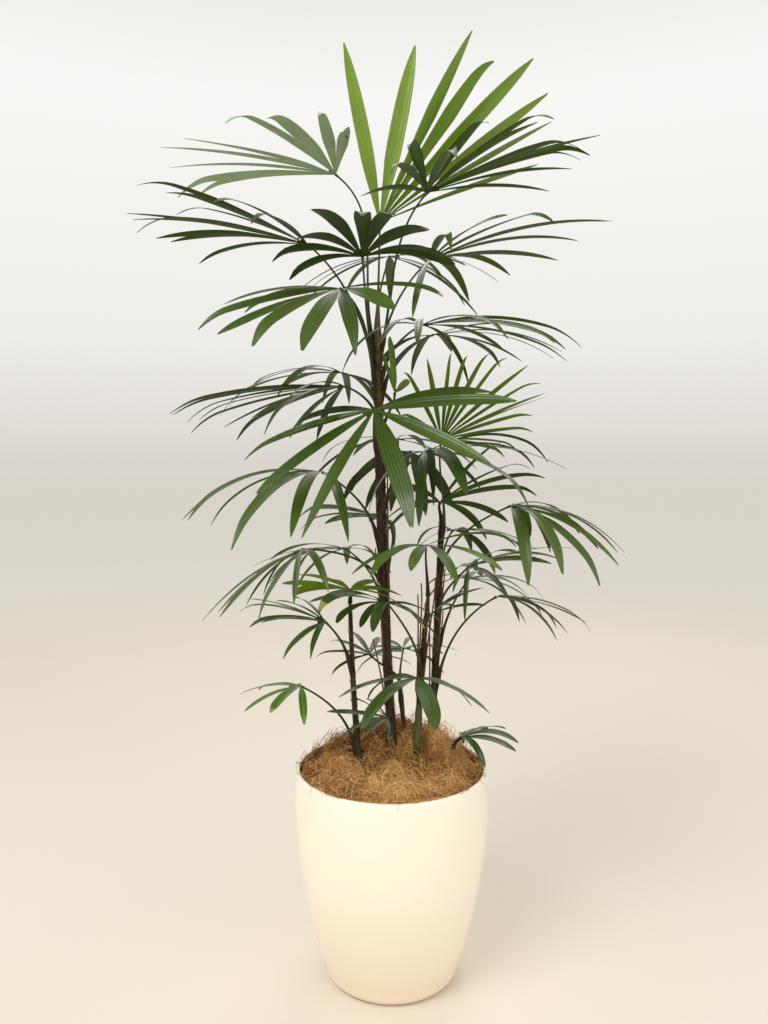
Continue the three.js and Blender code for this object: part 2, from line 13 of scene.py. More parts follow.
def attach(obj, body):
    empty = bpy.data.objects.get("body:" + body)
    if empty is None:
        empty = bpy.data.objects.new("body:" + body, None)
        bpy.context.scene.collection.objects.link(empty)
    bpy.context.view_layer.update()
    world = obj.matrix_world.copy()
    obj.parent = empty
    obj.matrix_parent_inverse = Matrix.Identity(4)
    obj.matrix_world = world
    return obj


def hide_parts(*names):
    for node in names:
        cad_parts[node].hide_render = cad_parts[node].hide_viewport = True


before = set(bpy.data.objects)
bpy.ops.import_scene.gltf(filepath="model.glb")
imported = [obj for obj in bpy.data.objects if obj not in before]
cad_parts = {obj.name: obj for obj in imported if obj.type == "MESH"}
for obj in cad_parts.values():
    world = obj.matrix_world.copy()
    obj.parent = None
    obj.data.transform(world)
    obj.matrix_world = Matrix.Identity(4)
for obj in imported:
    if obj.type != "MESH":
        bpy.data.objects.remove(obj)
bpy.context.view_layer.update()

METRES = 0.001
SCENE = bpy.context.scene
BODY = "root"
TURN = 2 * pi

# Pot
POT_HEIGHT = 308
POT_FOOT_RADIUS = 84
POT_HEEL_RADIUS = 100
POT_HEEL_HEIGHT = 16
POT_BELLY_RADIUS = 142
POT_BELLY_HEIGHT = 262
POT_RIM_RADIUS = 139
POT_WALL = 4
POT_LIP_ROUND = 1.6
POT_SIDES = 144

# Coir
MIX_LEVEL = 280
MULCH_EDGE_LEVEL = 299
# Heaps in the coir: centre x, y, height, spread
MULCH_HEAPS = (
    (0, 62, 34, 46),
    (62, 40, 22, 34),
    (-68, 34, 17, 34),
    (30, -52, 8, 40),
)

GAP = 0.35
ON_MIX = MIX_LEVEL + GAP

# Canes: foot x, y; tip x, y, z; sideways bow at mid height x, y; radius at foot and tip
CANES = {
    "main": ((5, 0), (-20, 0, 944), (-5, 0), (5.8, 7.2)),
    "left": ((-45, -15), (-60, -15, 552), (-2, 0), (4.8, 2.2)),
    "middle": ((35, -5), (53, -5, 560), (-2, 0), (5.6, 3.6)),
    "right": ((59, 55), (76, 55, 668), (2, 0), (5.2, 4)),
    "back": ((22, 26), (14, 26, 418), (2, 0), (2.6, 2)),
    "young": ((88, 8), (92, 4, 330), (0, 0), (2.6, 2.2)),
}
CANE_SIDES = 8

# Leaf stalks
STALK_RADII = (2.1, 1.5)
STALK_LEAN = 12
STALK_SPREAD = 35  # stalks leave a cane straight towards the hub or this far beside it
STALK_PULL = 0.33

# Fronds, one row each: name, cane, height of the stalk's foot, hub x y z, then heading
# (0 right, 90 back), rise and roll of the blade and the fan's first and last leaflet about the
# heading; count, length and width of the leaflets, droop and tint
FRONDS = (
    ("spear_top", "main", 944, (-17, 0, 1096), 90, 88, 0, (11, -66), 8, 308, 23, 0.05, "new"),
    ("right_high", "main", 926, (49, -40, 1124), 0, 15, -4, (-124, 10), 13, 232, 17, 0.1, "mid"),
    ("back_left_high", "main", 934, (-86, 110, 1200), 188, 3, 0, (-14, 120), 11, 274, 17, 0.1, "pale"),
    ("centre_high", "main", 918, (-41, -30, 1040), 270, 20, 0, (-80, 98), 10, 152, 21, 0.28, "dark"),
    ("left_high", "main", 902, (-116, -30, 1056), 178, 17, 0, (-20, 74), 11, 232, 15, 0.14, "dark"),
    ("right_upper", "main", 908, (58, 40, 1054), 5, 19, 0, (-150, 60), 12, 252, 15, 0.18, "mid"),
    ("mid_right", "main", 884, (43, 4, 952), 8, 5, 0, (-140, 50), 10, 228, 12, 0.28, "mid"),
    ("mid_left", "main", 872, (-71, -58, 991), 194, -8, -20, (-40, 145), 10, 200, 20, 0.16, "mid"),
    ("left_mid_dark", "main", 812, (-66, -40, 861), 170, -7, 0, (-60, 80), 12, 228, 16, 0.15, "dark"),
    ("front_centre", "main", 776, (-24, -90, 825), 268, -40, 14, (-120, 112), 8, 210, 21, 0.12, "mid"),
    ("left_lower_mid", "main", 650, (-102, 14, 741), 175, 6, 0, (-25, 112), 7, 222, 20, 0.5, "mid"),
    ("left_low", "main", 575, (-127, -40, 633), 190, -26, 0, (-55, 105), 8, 165, 13, 0.3, "mid"),
    ("left_crown", "left", 552, (-60, -15, 572), 245, 35, 0, (-110, 100), 8, 105, 14, 0.2, "new"),
    ("left_low_fan", "left", 468, (-95, -30, 528), 160, 22, 0, (-60, 100), 9, 118, 11, 0.22, "mid"),
    ("centre_low", "middle", 450, (-7, -50, 559), 235, 25, 0, (-100, 110), 8, 118, 17, 0.4, "dark"),
    ("right_low", "right", 520, (113, 0, 603), 10, 25, 0, (-110, 120), 9, 152, 13, 0.32, "mid"),
    ("centre_right_low", "middle", 480, (56, -34, 540), 10, 35, 0, (-100, 60), 6, 88, 8, 0.2, "dark"),
    ("middle_crown", "middle", 560, (50, -14, 636), 280, 4, 0, (-108, 122), 9, 132, 16, 0.4, "bright"),
    ("right_mid_big", "right", 590, (173, 0, 692), 5, 2, 10, (-85, 60), 10, 174, 19, 0.6, "mid"),
    ("right_low_dark", "right", 425, (154, 0, 559), 5, 0, 0, (-45, 55), 8, 140, 9, 0.4, "brown"),
    ("right_spiky", "right", 652, (74, 26, 789), 300, 45, 0, (-50, 95), 15, 168, 8, 0.06, "bright"),
    ("right_centre", "right", 668, (76, 76, 694), 320, 35, -10, (-115, 90), 11, 164, 14, 0.25, "mid"),
    ("centre_young", "main", 800, (4, -35, 852), 200, 70, 0, (-50, 120), 6, 100, 12, 0.1, "bright"),
    ("centre_cluster", "main", 700, (48, -14, 770), 0, 10, 0, (-125, 70), 9, 200, 18, 0.5, "dark"),
    ("low_front", "middle", 424, (36, -60, 455), 260, 0, 0, (-125, 110), 6, 124, 24, 0.35, "mid"),
    ("low_left_small", "left", 345, (-127, -60, 443), 180, 5, 0, (-70, 100), 6, 93, 14, 0.28, "bright"),
    ("low_centre_small", "back", 418, (-32, 14, 470), 110, 15, 0, (-100, 90), 7, 85, 10, 0.15, "dark"),
    ("low_left_dark", "main", 352, (-7, -36, 392), 175, 20, 0, (-65, 100), 8, 98, 10, 0.12, "dark"),
    ("low_right_small", "young", 330, (103, -2, 350), 0, 20, 0, (-60, 80), 6, 92, 14, 0.45, "mid"),
    ("back_high", "main", 892, (-2, 120, 1078), 80, 12, 0, (-105, 105), 10, 205, 14, 0.3, "mid"),
    ("back_right_upper", "main", 862, (66, 112, 955), 50, 8, 0, (-95, 85), 10, 210, 14, 0.32, "dark"),
    ("back_left_mid", "main", 842, (-76, 108, 895), 130, 8, 0, (-85, 95), 10, 205, 13, 0.35, "mid"),
    ("back_mid", "main", 722, (6, 132, 792), 92, 5, 0, (-100, 100), 9, 180, 13, 0.4, "dark"),
    ("back_right_low", "right", 480, (128, 134, 566), 55, 8, 0, (-85, 85), 9, 150, 11, 0.4, "mid"),
    ("back_left_low", "main", 540, (-72, 108, 618), 140, 6, 0, (-90, 90), 9, 165, 12, 0.4, "mid"),
    ("back_centre", "main", 706, (30, 92, 772), 85, -20, 0, (-100, 100), 8, 170, 18, 0.45, "dark"),
    ("centre_behind", "main", 596, (-6, 46, 668), 178, 16, 0, (-95, 95), 8, 134, 16, 0.3, "mid"),
    ("right_behind", "right", 560, (100, 122, 646), 40, 10, 0, (-100, 100), 7, 150, 14, 0.4, "dark"),
    ("back_low", "back", 396, (20, 112, 456), 80, 10, 0, (-95, 95), 7, 105, 10, 0.35, "mid"),
)
# Fans whose outer leaflets are more limp, and those whose leaflets crowd to the end (1 is even)
LIMP = {"right_upper": 2.2}
CROWDS = {"spear_top": 0.64, "right_high": 0.85}
# Fans whose leaflets turn about their own length, from none at the first to this at the last
TWISTS = {"spear_top": 96}
FROND_SEED = 1000
SEED_STEP = 17

# Leaflets
BLADE_BASE = 0.06
BLADE_FULL = 0.45
BLADE_TAPER = 0.62
TAPER_POWER = 2.2
SIDE_SHORTER = 0.22
SIDE_NARROWER = 0.25
LIFT_SPREAD = 12
SHAKE = 0.5  # of the space between two leaflets
# The least and the span of what chance makes of a leaflet's length, width and droop
LENGTH_RANGE = (0.93, 0.14)
WIDTH_RANGE = (0.85, 0.3)
DROOP_RANGE = (0.7, 0.6)
SAG_GAIN = 1.9
SAG_POWER = 1.4
PATH_STEPS = 16

# Room that fronds keep from each other
CELL = 6
CELLS = 1024  # along each axis
SAMPLE_STEP = 5
NARROW = 3  # a curve up to this radius is followed by its middle line alone
CHORDS = 200  # that a curve's length is measured with
MULCH_CLEARANCE = 7
POT_REACH = 150
TRIES = (
    (0, 0, 1), (5, 0, 1), (-5, 0, 1), (0, 8, 1), (0, -8, 1), (9, 6, 1), (-9, 6, 1), (9, -6, 1),
    (-9, -6, 1), (0, 14, 1), (0, -14, 1), (14, 0, 0.9), (-14, 0, 0.9), (0, 10, 0.75), (0, -10, 0.75),
)


# Growth: the same rule, order and draws as the solids


def blend(a, b, t):
    return a + (b - a) * t


def ranged(span, share):
    return span[0] + span[1] * share


def unit(v):
    return v / norm(v)


def units(rows):
    return rows / norm(rows, axis=-1, keepdims=True)


def offsets(axes, amounts):
    """Each row's axis times each of that row's amounts."""
    return axes[:, None] * amounts[..., None]


def outward(turn):
    """The level way at a turn about Z."""
    return np.array((cos(turn), sin(turn), 0))


def heap(x, y, middle_x, middle_y, spread):
    """1 in the middle of a heap, falling off round it."""
    return np.exp(-((x - middle_x) ** 2 + (y - middle_y) ** 2) / (2 * spread * spread))


def seeded(seed):
    """Repeatable random numbers between 0 and 1."""
    mask = 2 ** 32 - 1
    state = seed

    def draw():
        nonlocal state
        state = (state + 0x6D2B79F5) & mask
        t = state
        t = ((t ^ (t >> 15)) * (t | 1)) & mask
        t ^= (t + (((t ^ (t >> 7)) * (t | 61)) & mask)) & mask
        return (t ^ (t >> 14)) / (mask + 1)

    return draw


def mulch_level(x, y):
    level = MULCH_EDGE_LEVEL
    for middle_x, middle_y, height, spread in MULCH_HEAPS:
        level = level + height * heap(x, y, middle_x, middle_y, spread)
    return level


def bezier(points, t):
    """A point or points of the curve with these three or four control points."""
    rows = [np.asarray(p, float) for p in points]
    t = np.asarray(t, float)[..., None]
    while len(rows) > 1:
        rows = [blend(a, b, t) for a, b in zip(rows[:-1], rows[1:])]
    return rows[0]


def cane_curve(cane):
    (fx, fy), tip, (bx, by), _ = CANES[cane]
    foot = np.array((fx, fy, ON_MIX), float)
    tip = np.array(tip, float)
    middle = foot + (tip - foot) * 0.5 + np.array((2 * bx, 2 * by, 0))
    return foot, middle, tip


def cane_share(cane, z):
    return min(1, max(0, (z - ON_MIX) / (CANES[cane][1][2] - ON_MIX)))


def cane_reach(radius, toward):
    """How far a cane's flat-sided surface lies from its axis in a direction."""
    corner = TURN / CANE_SIDES
    from_flat = toward - corner * (np.floor(toward / corner) + 0.5)
    return radius * cos(corner / 2) / cos(from_flat)


def blade_axes(heading, rise, roll):
    """The blade's own axes: ahead, left and up out of its face."""
    h, r, o = (radians(a) for a in (heading, rise, roll))
    ahead = np.array((cos(h) * cos(r), sin(h) * cos(r), sin(r)))
    level = np.array((-sin(h), cos(h), 0))
    left = level * cos(o) + np.cross(ahead, level) * sin(o)
    return ahead, left, np.cross(ahead, left)


def stalk_curve(row, order):
    """From beside the cane, or from its tip, up and over to the hub."""
    _, cane, at, hub, heading, rise = row[:6]
    hub = np.array(hub, float)
    share = cane_share(cane, at)
    on_axis = bezier(cane_curve(cane), share)
    foot = on_axis.copy()
    out = np.zeros(3)
    if at >= CANES[cane][1][2]:
        foot[2] += GAP
    else:
        side = radians((order % 3 - 1) * STALK_SPREAD)
        toward = atan2(hub[1] - on_axis[1], hub[0] - on_axis[0]) + side
        out = outward(toward)
        radius = blend(*CANES[cane][3], share)
        touching = cane_reach(radius, toward) + STALK_RADII[0] * cos(radians(STALK_LEAN))
        foot = foot + out * (touching + GAP)
    reach = norm(hub - foot)
    ahead = blade_axes(heading, rise, 0)[0]
    arrival = unit(unit(hub - foot) + ahead)
    pull = reach * STALK_PULL
    leave = foot + out * (pull * tan(radians(STALK_LEAN))) + np.array((0, 0, pull))
    return foot, leave, hub - arrival * pull, hub


def opening(u):
    """How wide a leaflet has opened, as a share of its full width."""
    return BLADE_BASE + (1 - BLADE_BASE) * np.sin(np.minimum(u / BLADE_FULL, 1) * pi / 2)


def blade_width(u):
    t = np.clip((u - BLADE_TAPER) / (1 - BLADE_TAPER), 0, 1)
    return opening(u) * np.sqrt(np.maximum(0, 1 - t ** TAPER_POWER))


def fan_of(row, order):
    """A frond's leaflets before any is moved out of another's way."""
    (first, last), count, length, width, droop, _ = row[7:]
    limp = LIMP.get(row[0], 1)
    crowd = CROWDS.get(row[0], 1)
    draw = seeded(FROND_SEED + SEED_STEP * order)
    leaflets = []
    for i in range(count):
        t = 2 * i / (count - 1) - 1
        shake = draw() - 0.5
        shift = SHAKE * shake if 0 < i < count - 1 else 0
        leaflets.append({
            "turn": blend(first, last, ((i + shift) / (count - 1)) ** crowd),
            "lift": (draw() - 0.5) * LIFT_SPREAD,
            "length": length * (1 - SIDE_SHORTER * t * t) * ranged(LENGTH_RANGE, draw()),
            "width": width * (1 - SIDE_NARROWER * t * t) * ranged(WIDTH_RANGE, draw()),
            "droop": droop * ranged(DROOP_RANGE, draw()) * (1 + limp * t ** 4),
            "twist": TWISTS.get(row[0], 0) * (t + 1) / 2,
        })
    return leaflets


def leaflet_path(row, leaflet, turn_more, lift_more, share):
    """A leaflet's middle line: it starts in the fan's plane and sags towards its tip."""
    hub, heading, rise, roll = row[3:7]
    ahead, left, face = blade_axes(heading, rise, roll)
    turn = radians(leaflet["turn"] + turn_more)
    lift = radians(leaflet["lift"] + lift_more)
    start = ahead * cos(turn) + left * sin(turn)
    start = unit(start * cos(lift) + face * sin(lift))
    twist = radians(leaflet["twist"])
    face = face * cos(twist) + np.cross(start, face) * sin(twist)
    length = leaflet["length"] * share
    u = (np.arange(PATH_STEPS) + 0.5) / PATH_STEPS
    along = np.tile(start, (PATH_STEPS, 1))
    along[:, 2] -= leaflet["droop"] * SAG_GAIN * u ** SAG_POWER
    along = units(along)
    steps = np.vstack((np.zeros(3), along)) * (length / PATH_STEPS)
    return {
        "at": np.array(hub, float) + np.cumsum(steps, axis=0),
        "along": np.vstack((start, along)),
        "face": face,
        "width": leaflet["width"],
        "length": length,
        "turn": degrees(turn),
    }


def cell_keys(points):
    cells = np.floor(points / CELL).astype(np.int64) + CELLS // 2
    return np.unique((cells[:, 0] * CELLS + cells[:, 1]) * CELLS + cells[:, 2])


NEXT = (-1, 0, 1)
NEXT_CELLS = np.array([(i * CELLS + j) * CELLS + k for i in NEXT for j in NEXT for k in NEXT])


def claim(taken, points, owner):
    for key in cell_keys(points).tolist():
        taken.setdefault(key, owner)


def is_free(taken, points, owner):
    over_pot = np.hypot(points[:, 0], points[:, 1]) < POT_REACH
    low = points[:, 2] < mulch_level(points[:, 0], points[:, 1]) + MULCH_CLEARANCE
    if np.any(over_pot & low):
        return False
    near = np.unique(cell_keys(points)[:, None] + NEXT_CELLS)
    return all(taken.get(key, owner) == owner for key in near.tolist())


def leaflet_points(line):
    at = line["at"]
    between = max(1, ceil(line["length"] / PATH_STEPS / SAMPLE_STEP))
    k = np.repeat(np.arange(PATH_STEPS), between)
    j = np.tile(np.arange(between), PATH_STEPS) / between
    middle = blend(at[k], at[k + 1], j[:, None])
    side = units(np.cross(line["along"][k + 1], line["face"]))
    wide = line["width"] * blade_width((k + j) / PATH_STEPS)
    rows = [middle + side * (across * wide)[:, None] for across in (-0.5, -0.25, 0, 0.25, 0.5)]
    return np.vstack(rows + [at[-1:]])


def curve_points(curve, radius):
    chords = bezier(curve, np.linspace(0, 1, CHORDS + 1))
    length = norm(np.diff(chords, axis=0), axis=1).sum()
    middle = bezier(curve, np.linspace(0, 1, ceil(length / SAMPLE_STEP) + 1))
    if radius <= NARROW:
        return middle
    ring = [(radius, 0, 0), (0, radius, 0), (-radius, 0, 0), (0, -radius, 0)]
    return np.vstack([middle] + [middle + np.array(offset) for offset in ring])


def grow():
    """The stalk's curve and the leaflets' lines of each frond, in the table's order."""
    taken = {}
    for cane, sizes in CANES.items():
        claim(taken, curve_points(cane_curve(cane), sizes[3][0]), cane)
    stalks = [stalk_curve(row, order) for order, row in enumerate(FRONDS)]
    for row, stalk in zip(FRONDS, stalks):
        claim(taken, curve_points(stalk, STALK_RADII[0]), row[0])
    fronds = []
    for order, row in enumerate(FRONDS):
        lines = []
        for place, leaflet in enumerate(fan_of(row, order)):
            for attempt in TRIES:
                line = leaflet_path(row, leaflet, *attempt)
                points = leaflet_points(line)
                if is_free(taken, points, row[0]):
                    claim(taken, points, row[0])
                    line["place"] = place
                    lines.append(line)
                    break
        fronds.append({"row": row, "order": order, "stalk": stalks[order], "lines": lines})
    return fronds


# Making meshes


def show(name, data):
    thing = bpy.data.objects.new(name, data)
    SCENE.collection.objects.link(thing)
    return thing


class Shape:
    """Points and faces gathered for one mesh. A face's finish is its place in the mesh's list."""

    def __init__(self):
        self.points = []
        self.faces = []
        self.count = 0

    def add(self, points, faces, finishes):
        """faces holds arrays of three or four corners, and finishes one number or array for each."""
        self.points.append(points.reshape(-1, 3))
        for some, finish in zip(faces, finishes):
            self.faces.append((some + self.count, np.broadcast_to(finish, len(some))))
        self.count += len(self.points[-1])

    def build(self, name, finishes, sharp):
        """The mesh as an object. Edges where faces meet at more than the angle sharp stay crisp."""
        faces = [face for some, _ in self.faces for face in some.tolist()]
        which = np.concatenate([finish for _, finish in self.faces])
        mesh = bpy.data.meshes.new(name)
        mesh.from_pydata(np.concatenate(self.points) * METRES, [], faces, shade_flat=False)
        mesh.polygons.foreach_set("material_index", which)
        for finish in finishes:
            mesh.materials.append(finish)
        mesh.set_sharp_from_angle(angle=radians(sharp))
        return show(name, mesh)

    def fit(self, nodes, name, finishes, sharp=180):
        """The mesh, with its finishes, rides on the plant and stands for these solids."""
        piece = self.build(name, finishes, sharp)
        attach(piece, BODY)
        if nodes:
            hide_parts(*nodes)


def skin(rings, sides):
    """Quads between rings that follow each other, each ring turning left round their way."""
    k = np.arange(rings - 1)[:, None] * sides
    a = np.arange(sides)[None, :]
    b = (a + 1) % sides
    return np.stack((k + a, k + b, k + sides + b, k + sides + a), axis=-1).reshape(-1, 4)


def close_rings(shape, rings, ends, finish):
    """Rings of points joined by quads, with a fan at each end about a point of its own."""
    count, sides = rings.shape[:2]
    a = np.arange(sides)
    b = (a + 1) % sides
    last = (count - 1) * sides
    low = np.stack((b, a, np.full(sides, count * sides)), axis=-1)
    high = np.stack((last + a, last + b, np.full(sides, count * sides + 1)), axis=-1)
    finish = np.broadcast_to(finish, count)
    finishes = [np.repeat(finish[:-1], sides), finish[0], finish[-1]]
    shape.add(np.vstack((rings.reshape(-1, 3), ends)), [skin(count, sides), low, high], finishes)


def ring_turns(sides):
    return np.linspace(0, TURN, sides, endpoint=False)


def turned(shape, outline, sides, finish):
    """A form turned about Z. Its outline of radius and height starts below, at the axis."""
    turn = ring_turns(sides)
    outline = np.array(outline, float)
    radius, height = outline[1:-1].T[..., None]
    rings = np.stack(np.broadcast_arrays(radius * np.cos(turn), radius * np.sin(turn), height), axis=-1)
    ends = np.array(((0, 0, outline[0, 1]), (0, 0, outline[-1, 1])))
    close_rings(shape, rings, ends, finish)


def headings(path):
    return units(np.gradient(path, axis=-2))


def round_axes(path, across):
    """Two directions square to a path at each of its points, the first nearest to across."""
    along = headings(path)
    side = units(across - along * (along @ across)[..., None])
    return side, np.cross(along, side)


def tube(shape, path, radii, sides, finish):
    """A round limb along a path. radii has one radius a point, or one for each point and side."""
    side, up = round_axes(path, np.array((1, 0, 0)))
    turn = ring_turns(sides)
    radii = np.reshape(radii, (len(path), -1))
    rings = path[:, None] + offsets(side, radii * np.cos(turn)) + offsets(up, radii * np.sin(turn))
    close_rings(shape, rings, path[[0, -1]], finish)


HAIR_SIDES = 3
HAIR_ACROSS = (0.3, 0.2, 0.9)  # a way that few fibres run
HAIR_TIP = 0.1


def hairs(shape, paths, radii, finish):
    """Many fine fibres at once: paths is fibres by points by 3, with a radius for each fibre."""
    count, points = paths.shape[:2]
    side, up = round_axes(paths, unit(HAIR_ACROSS))
    taper = np.sqrt(1 + HAIR_TIP - np.linspace(-1, 1, points) ** 4)
    reach = (radii[:, None] * taper)[..., None]
    rings = [paths + (side * cos(a) + up * sin(a)) * reach for a in ring_turns(HAIR_SIDES)]
    first = np.arange(count)[:, None, None] * points * HAIR_SIDES
    last = (points - 1) * HAIR_SIDES
    quads = (skin(points, HAIR_SIDES)[None] + first).reshape(-1, 4)
    ends = (np.array(((2, 1, 0), (last, last + 1, last + 2)))[None] + first).reshape(-1, 3)
    finishes = [np.repeat(finish, len(quads) // count), np.repeat(finish, 2)]
    shape.add(np.stack(rings, axis=2), [quads, ends], finishes)


# Fronds

BLADE_STEP = 9.5  # between stations along a leaflet
STATIONS = (12, 30)
TIP_CROWD = 0.84  # below 1 the stations crowd towards the tip
BLADE_RIB = 4.2  # between its ribs
QUADS_A_RIB = 4
BLADE_THICKNESS = 0.42
TIP_THINNER = 0.5
EDGE_POWER = 8  # the higher, the nearer to its edges a blade is thick
EDGE_STEEP = 1.6
FOLD = (4, 20)  # degrees that each half is folded up at the hub
UNFOLD = 0.45  # share of the fold that is gone at the tip
ARCH = (-0.06, 0.1)  # how far the middle sinks, of half the width
TWIST_SPREADS = (5, 13)  # degrees at the hub, and more at the tip
LEAST_WIDTH = 1.2
LEAST_ROOM = 6  # degrees
FULLER = 1.08  # a fine blade's widest part against the solid's
RIB_HEIGHT = 0.05  # of the space between ribs
RIB_LEAST = 0.4  # of that height, where the blade is narrow
WEB_REACH = 0.17  # leaflets stay joined for this share of their length
WEB_LONGEST = 27
WEB_WIDEST = 34  # degrees between leaflets that a web joins
WEB_DEPTH = 0.22  # of its width
LOOSE_TIPS = 0.45  # share of the leaflets whose last stretch bends down
LOOSE_FROM = 0.8
LOOSE_BEND = (0.025, 0.08)  # of the length
DRY_TIPS = 0.06  # share whose very tip is dry
TIP_FROM = 0.5
TIP_POWERS = (1.7, 2.9)  # the higher, the blunter
TIP_ROUND = 0.72
BLUNT_BELOW = 11  # leaflets with less length than this many times their width have a blunter tip
BLUNTER = 0.5  # for each such width that is missing
TIP_WIDTH = 0.1  # of the full width
BLUNT_WIDER = 0.05
TEETH = 0.08
TOP_SHADES = 3
# The rib crests' lighter colour is a painted highlight along the ribs.
CREST_HIGHLIGHT, UNDER, DRY = range(TOP_SHADES, TOP_SHADES + 3)
LEAF_SEED = 500
STALK_SIDES = 9
STALK_STEP = 7
STALK_POINTS = 14  # at least
STALK_SLIMMER = 0.86  # a fine stalk's radius against the solid's
# How much wider a stalk is, and over what length: at its base, and at the hub
CLASP = (1.9, 20)
KNOB = (0.9, 5)
BASE_RUN = 30  # a stalk's base runs down its cane this far
BASE_POINTS = 5
BASE_SLOPE = 0.16
BASE_NARROW = 0.4
BROWN_TO = 40


def smooth_path(line, u):
    """The leaflet's line, smooth through its points, at shares u of its length."""
    at, along = line["at"], line["along"]
    heading = along.copy()
    heading[:-1] += along[1:]
    heading *= line["length"] / PATH_STEPS / norm(heading, axis=1)[:, None]
    k = np.minimum((u * PATH_STEPS).astype(int), PATH_STEPS - 1)
    leave = at[k] + heading[k] / 3
    arrive = at[k + 1] - heading[k + 1] / 3
    return bezier((at[k], leave, arrive, at[k + 1]), u * PATH_STEPS - k)


def fine_width(u, point):
    """The width of a fine blade: it opens as the solid one does and has a sharper tip."""
    t = np.clip((u - TIP_FROM) / (1 - TIP_FROM), 0, 1)
    return opening(u) * np.maximum(0, 1 - t ** point) ** TIP_ROUND


def leaflet(shape, line, room, draw):
    """A thin ribbed blade, slightly folded along its middle, with a narrow toothed tip.

    room is the angle to the nearest leaflet beside it, which it stays clear of near the hub. The
    line then keeps the blade's edges there, for the webs.
    """
    length, width = line["length"], line["width"]
    stations = int(np.clip(length / BLADE_STEP, *STATIONS))
    u = np.linspace(0, 1, stations) ** TIP_CROWD
    path = smooth_path(line, u)
    if draw.random() < LOOSE_TIPS:
        bend = draw.uniform(*LOOSE_BEND) * length
        path[:, 2] -= bend * np.clip((u - LOOSE_FROM) / (1 - LOOSE_FROM), 0, 1) ** 2
    along = headings(path)
    side = units(np.cross(along, line["face"]))
    up = np.cross(side, along)
    at_hub, at_tip = (draw.normal(0, spread) for spread in TWIST_SPREADS)
    twist = np.radians(at_hub + at_tip * u)[:, None]
    side, up = side * np.cos(twist) + up * np.sin(twist), up * np.cos(twist) - side * np.sin(twist)
    blunt = BLUNTER * max(0, BLUNT_BELOW - length / width)
    share = fine_width(u, draw.uniform(*TIP_POWERS) + blunt)
    share[-1] = TIP_WIDTH + BLUNT_WIDER * blunt
    half = 0.5 * np.minimum(FULLER * width * share, LEAST_WIDTH + room * u * length)
    ribs = max(2, round(width / BLADE_RIB))
    across = QUADS_A_RIB * ribs
    s = np.linspace(-1, 1, across + 1)
    fold = radians(draw.uniform(*FOLD)) * (1 - UNFOLD * u)
    arch = draw.uniform(*ARCH)
    rib = RIB_HEIGHT * width / ribs * blend(RIB_LEAST, 1, share)
    high = np.outer(half * np.sin(fold), np.abs(s)) - np.outer(arch * half, 1 - s ** 2)
    high += np.outer(rib, np.cos(pi * ribs * s))
    wide = np.outer(half * np.cos(fold), s)
    teeth = np.zeros((stations, across + 1))
    teeth[-1] = draw.uniform(-TEETH, TEETH, across + 1) * width
    flank = np.minimum(1, EDGE_STEEP * (1 - s ** EDGE_POWER))
    thick = 0.5 * BLADE_THICKNESS * np.outer(1 - TIP_THINNER * u, flank)
    middle = path[:, None] + offsets(side, wide) + offsets(along, teeth)
    under = middle + offsets(up, high - thick)
    ring = np.concatenate((middle + offsets(up, high + thick), under[:, -2:0:-1]), axis=1)
    sides = ring.shape[1]
    shade = int(draw.integers(TOP_SHADES))
    # Faces on the rib crests take the lighter colour: a painted highlight.
    crest_highlight = np.cos(pi * ribs * 0.5 * (s[1:] + s[:-1])) > 0
    band = np.append(np.where(crest_highlight, CREST_HIGHLIGHT, shade), [UNDER] * (sides - across))
    finish = np.tile(band, stations - 1)
    if draw.random() < DRY_TIPS:
        finish[(stations - 2) * sides:] = DRY
    j = np.arange(1, across - 1)
    caps = np.stack((j, j + 1, sides - j - 1, sides - j), axis=-1)
    ends = np.array(((0, 1, sides - 1), (across - 1, across, across + 1)))
    last = (stations - 1) * sides
    faces = [skin(stations, sides), caps[:, ::-1], ends[:, ::-1], caps + last, ends + last]
    shape.add(ring, faces, [finish, shade, shade, finish[-1], finish[-1]])
    joined = int(np.sum(u <= min(WEB_REACH, WEB_LONGEST / length)))
    edge = (middle + offsets(up, high))[:joined]
    line.update(left=edge[:, 0], right=edge[:, -1], up=up[:joined], shade=shade)


def web(shape, one, other):
    """The pleat that still joins two leaflets near the hub."""
    if other["place"] != one["place"] + 1 or abs(other["turn"] - one["turn"]) > WEB_WIDEST:
        return
    rows = min(len(one["up"]), len(other["up"]))
    a = one["left"][:rows]
    b = other["right"][:rows]
    up = units(one["up"][:rows] + other["up"][:rows])
    valley = 0.5 * (a + b) - up * norm(b - a, axis=1)[:, None] * WEB_DEPTH
    thick = up * 0.5 * BLADE_THICKNESS
    ring = np.stack((b, valley + thick, a, valley - thick), axis=1)
    last = (rows - 1) * 4
    ends = np.array(((3, 2, 1, 0), (last, last + 1, last + 2, last + 3)))
    shade = one["shade"]
    shape.add(ring, [skin(rows, 4), ends], [np.tile((shade, shade, UNDER, UNDER), rows - 1), shade])


def leaves(fronds, tint, finishes):
    shape = Shape()
    nodes = []
    for frond in fronds:
        if frond["row"][-1] != tint:
            continue
        draw = default_rng(LEAF_SEED + frond["order"])
        lines = frond["lines"]
        between = np.abs(np.diff([line["turn"] for line in lines], prepend=np.inf, append=np.inf))
        rooms = np.radians(np.maximum(np.minimum(between[1:], between[:-1]), LEAST_ROOM))
        for line, room in zip(lines, rooms):
            leaflet(shape, line, room, draw)
        for one, other in zip(lines[:-1], lines[1:]):
            web(shape, one, other)
        nodes.append("frond_" + frond["row"][0])
    shape.fit(nodes, "leaves_" + tint, finishes, sharp=70)


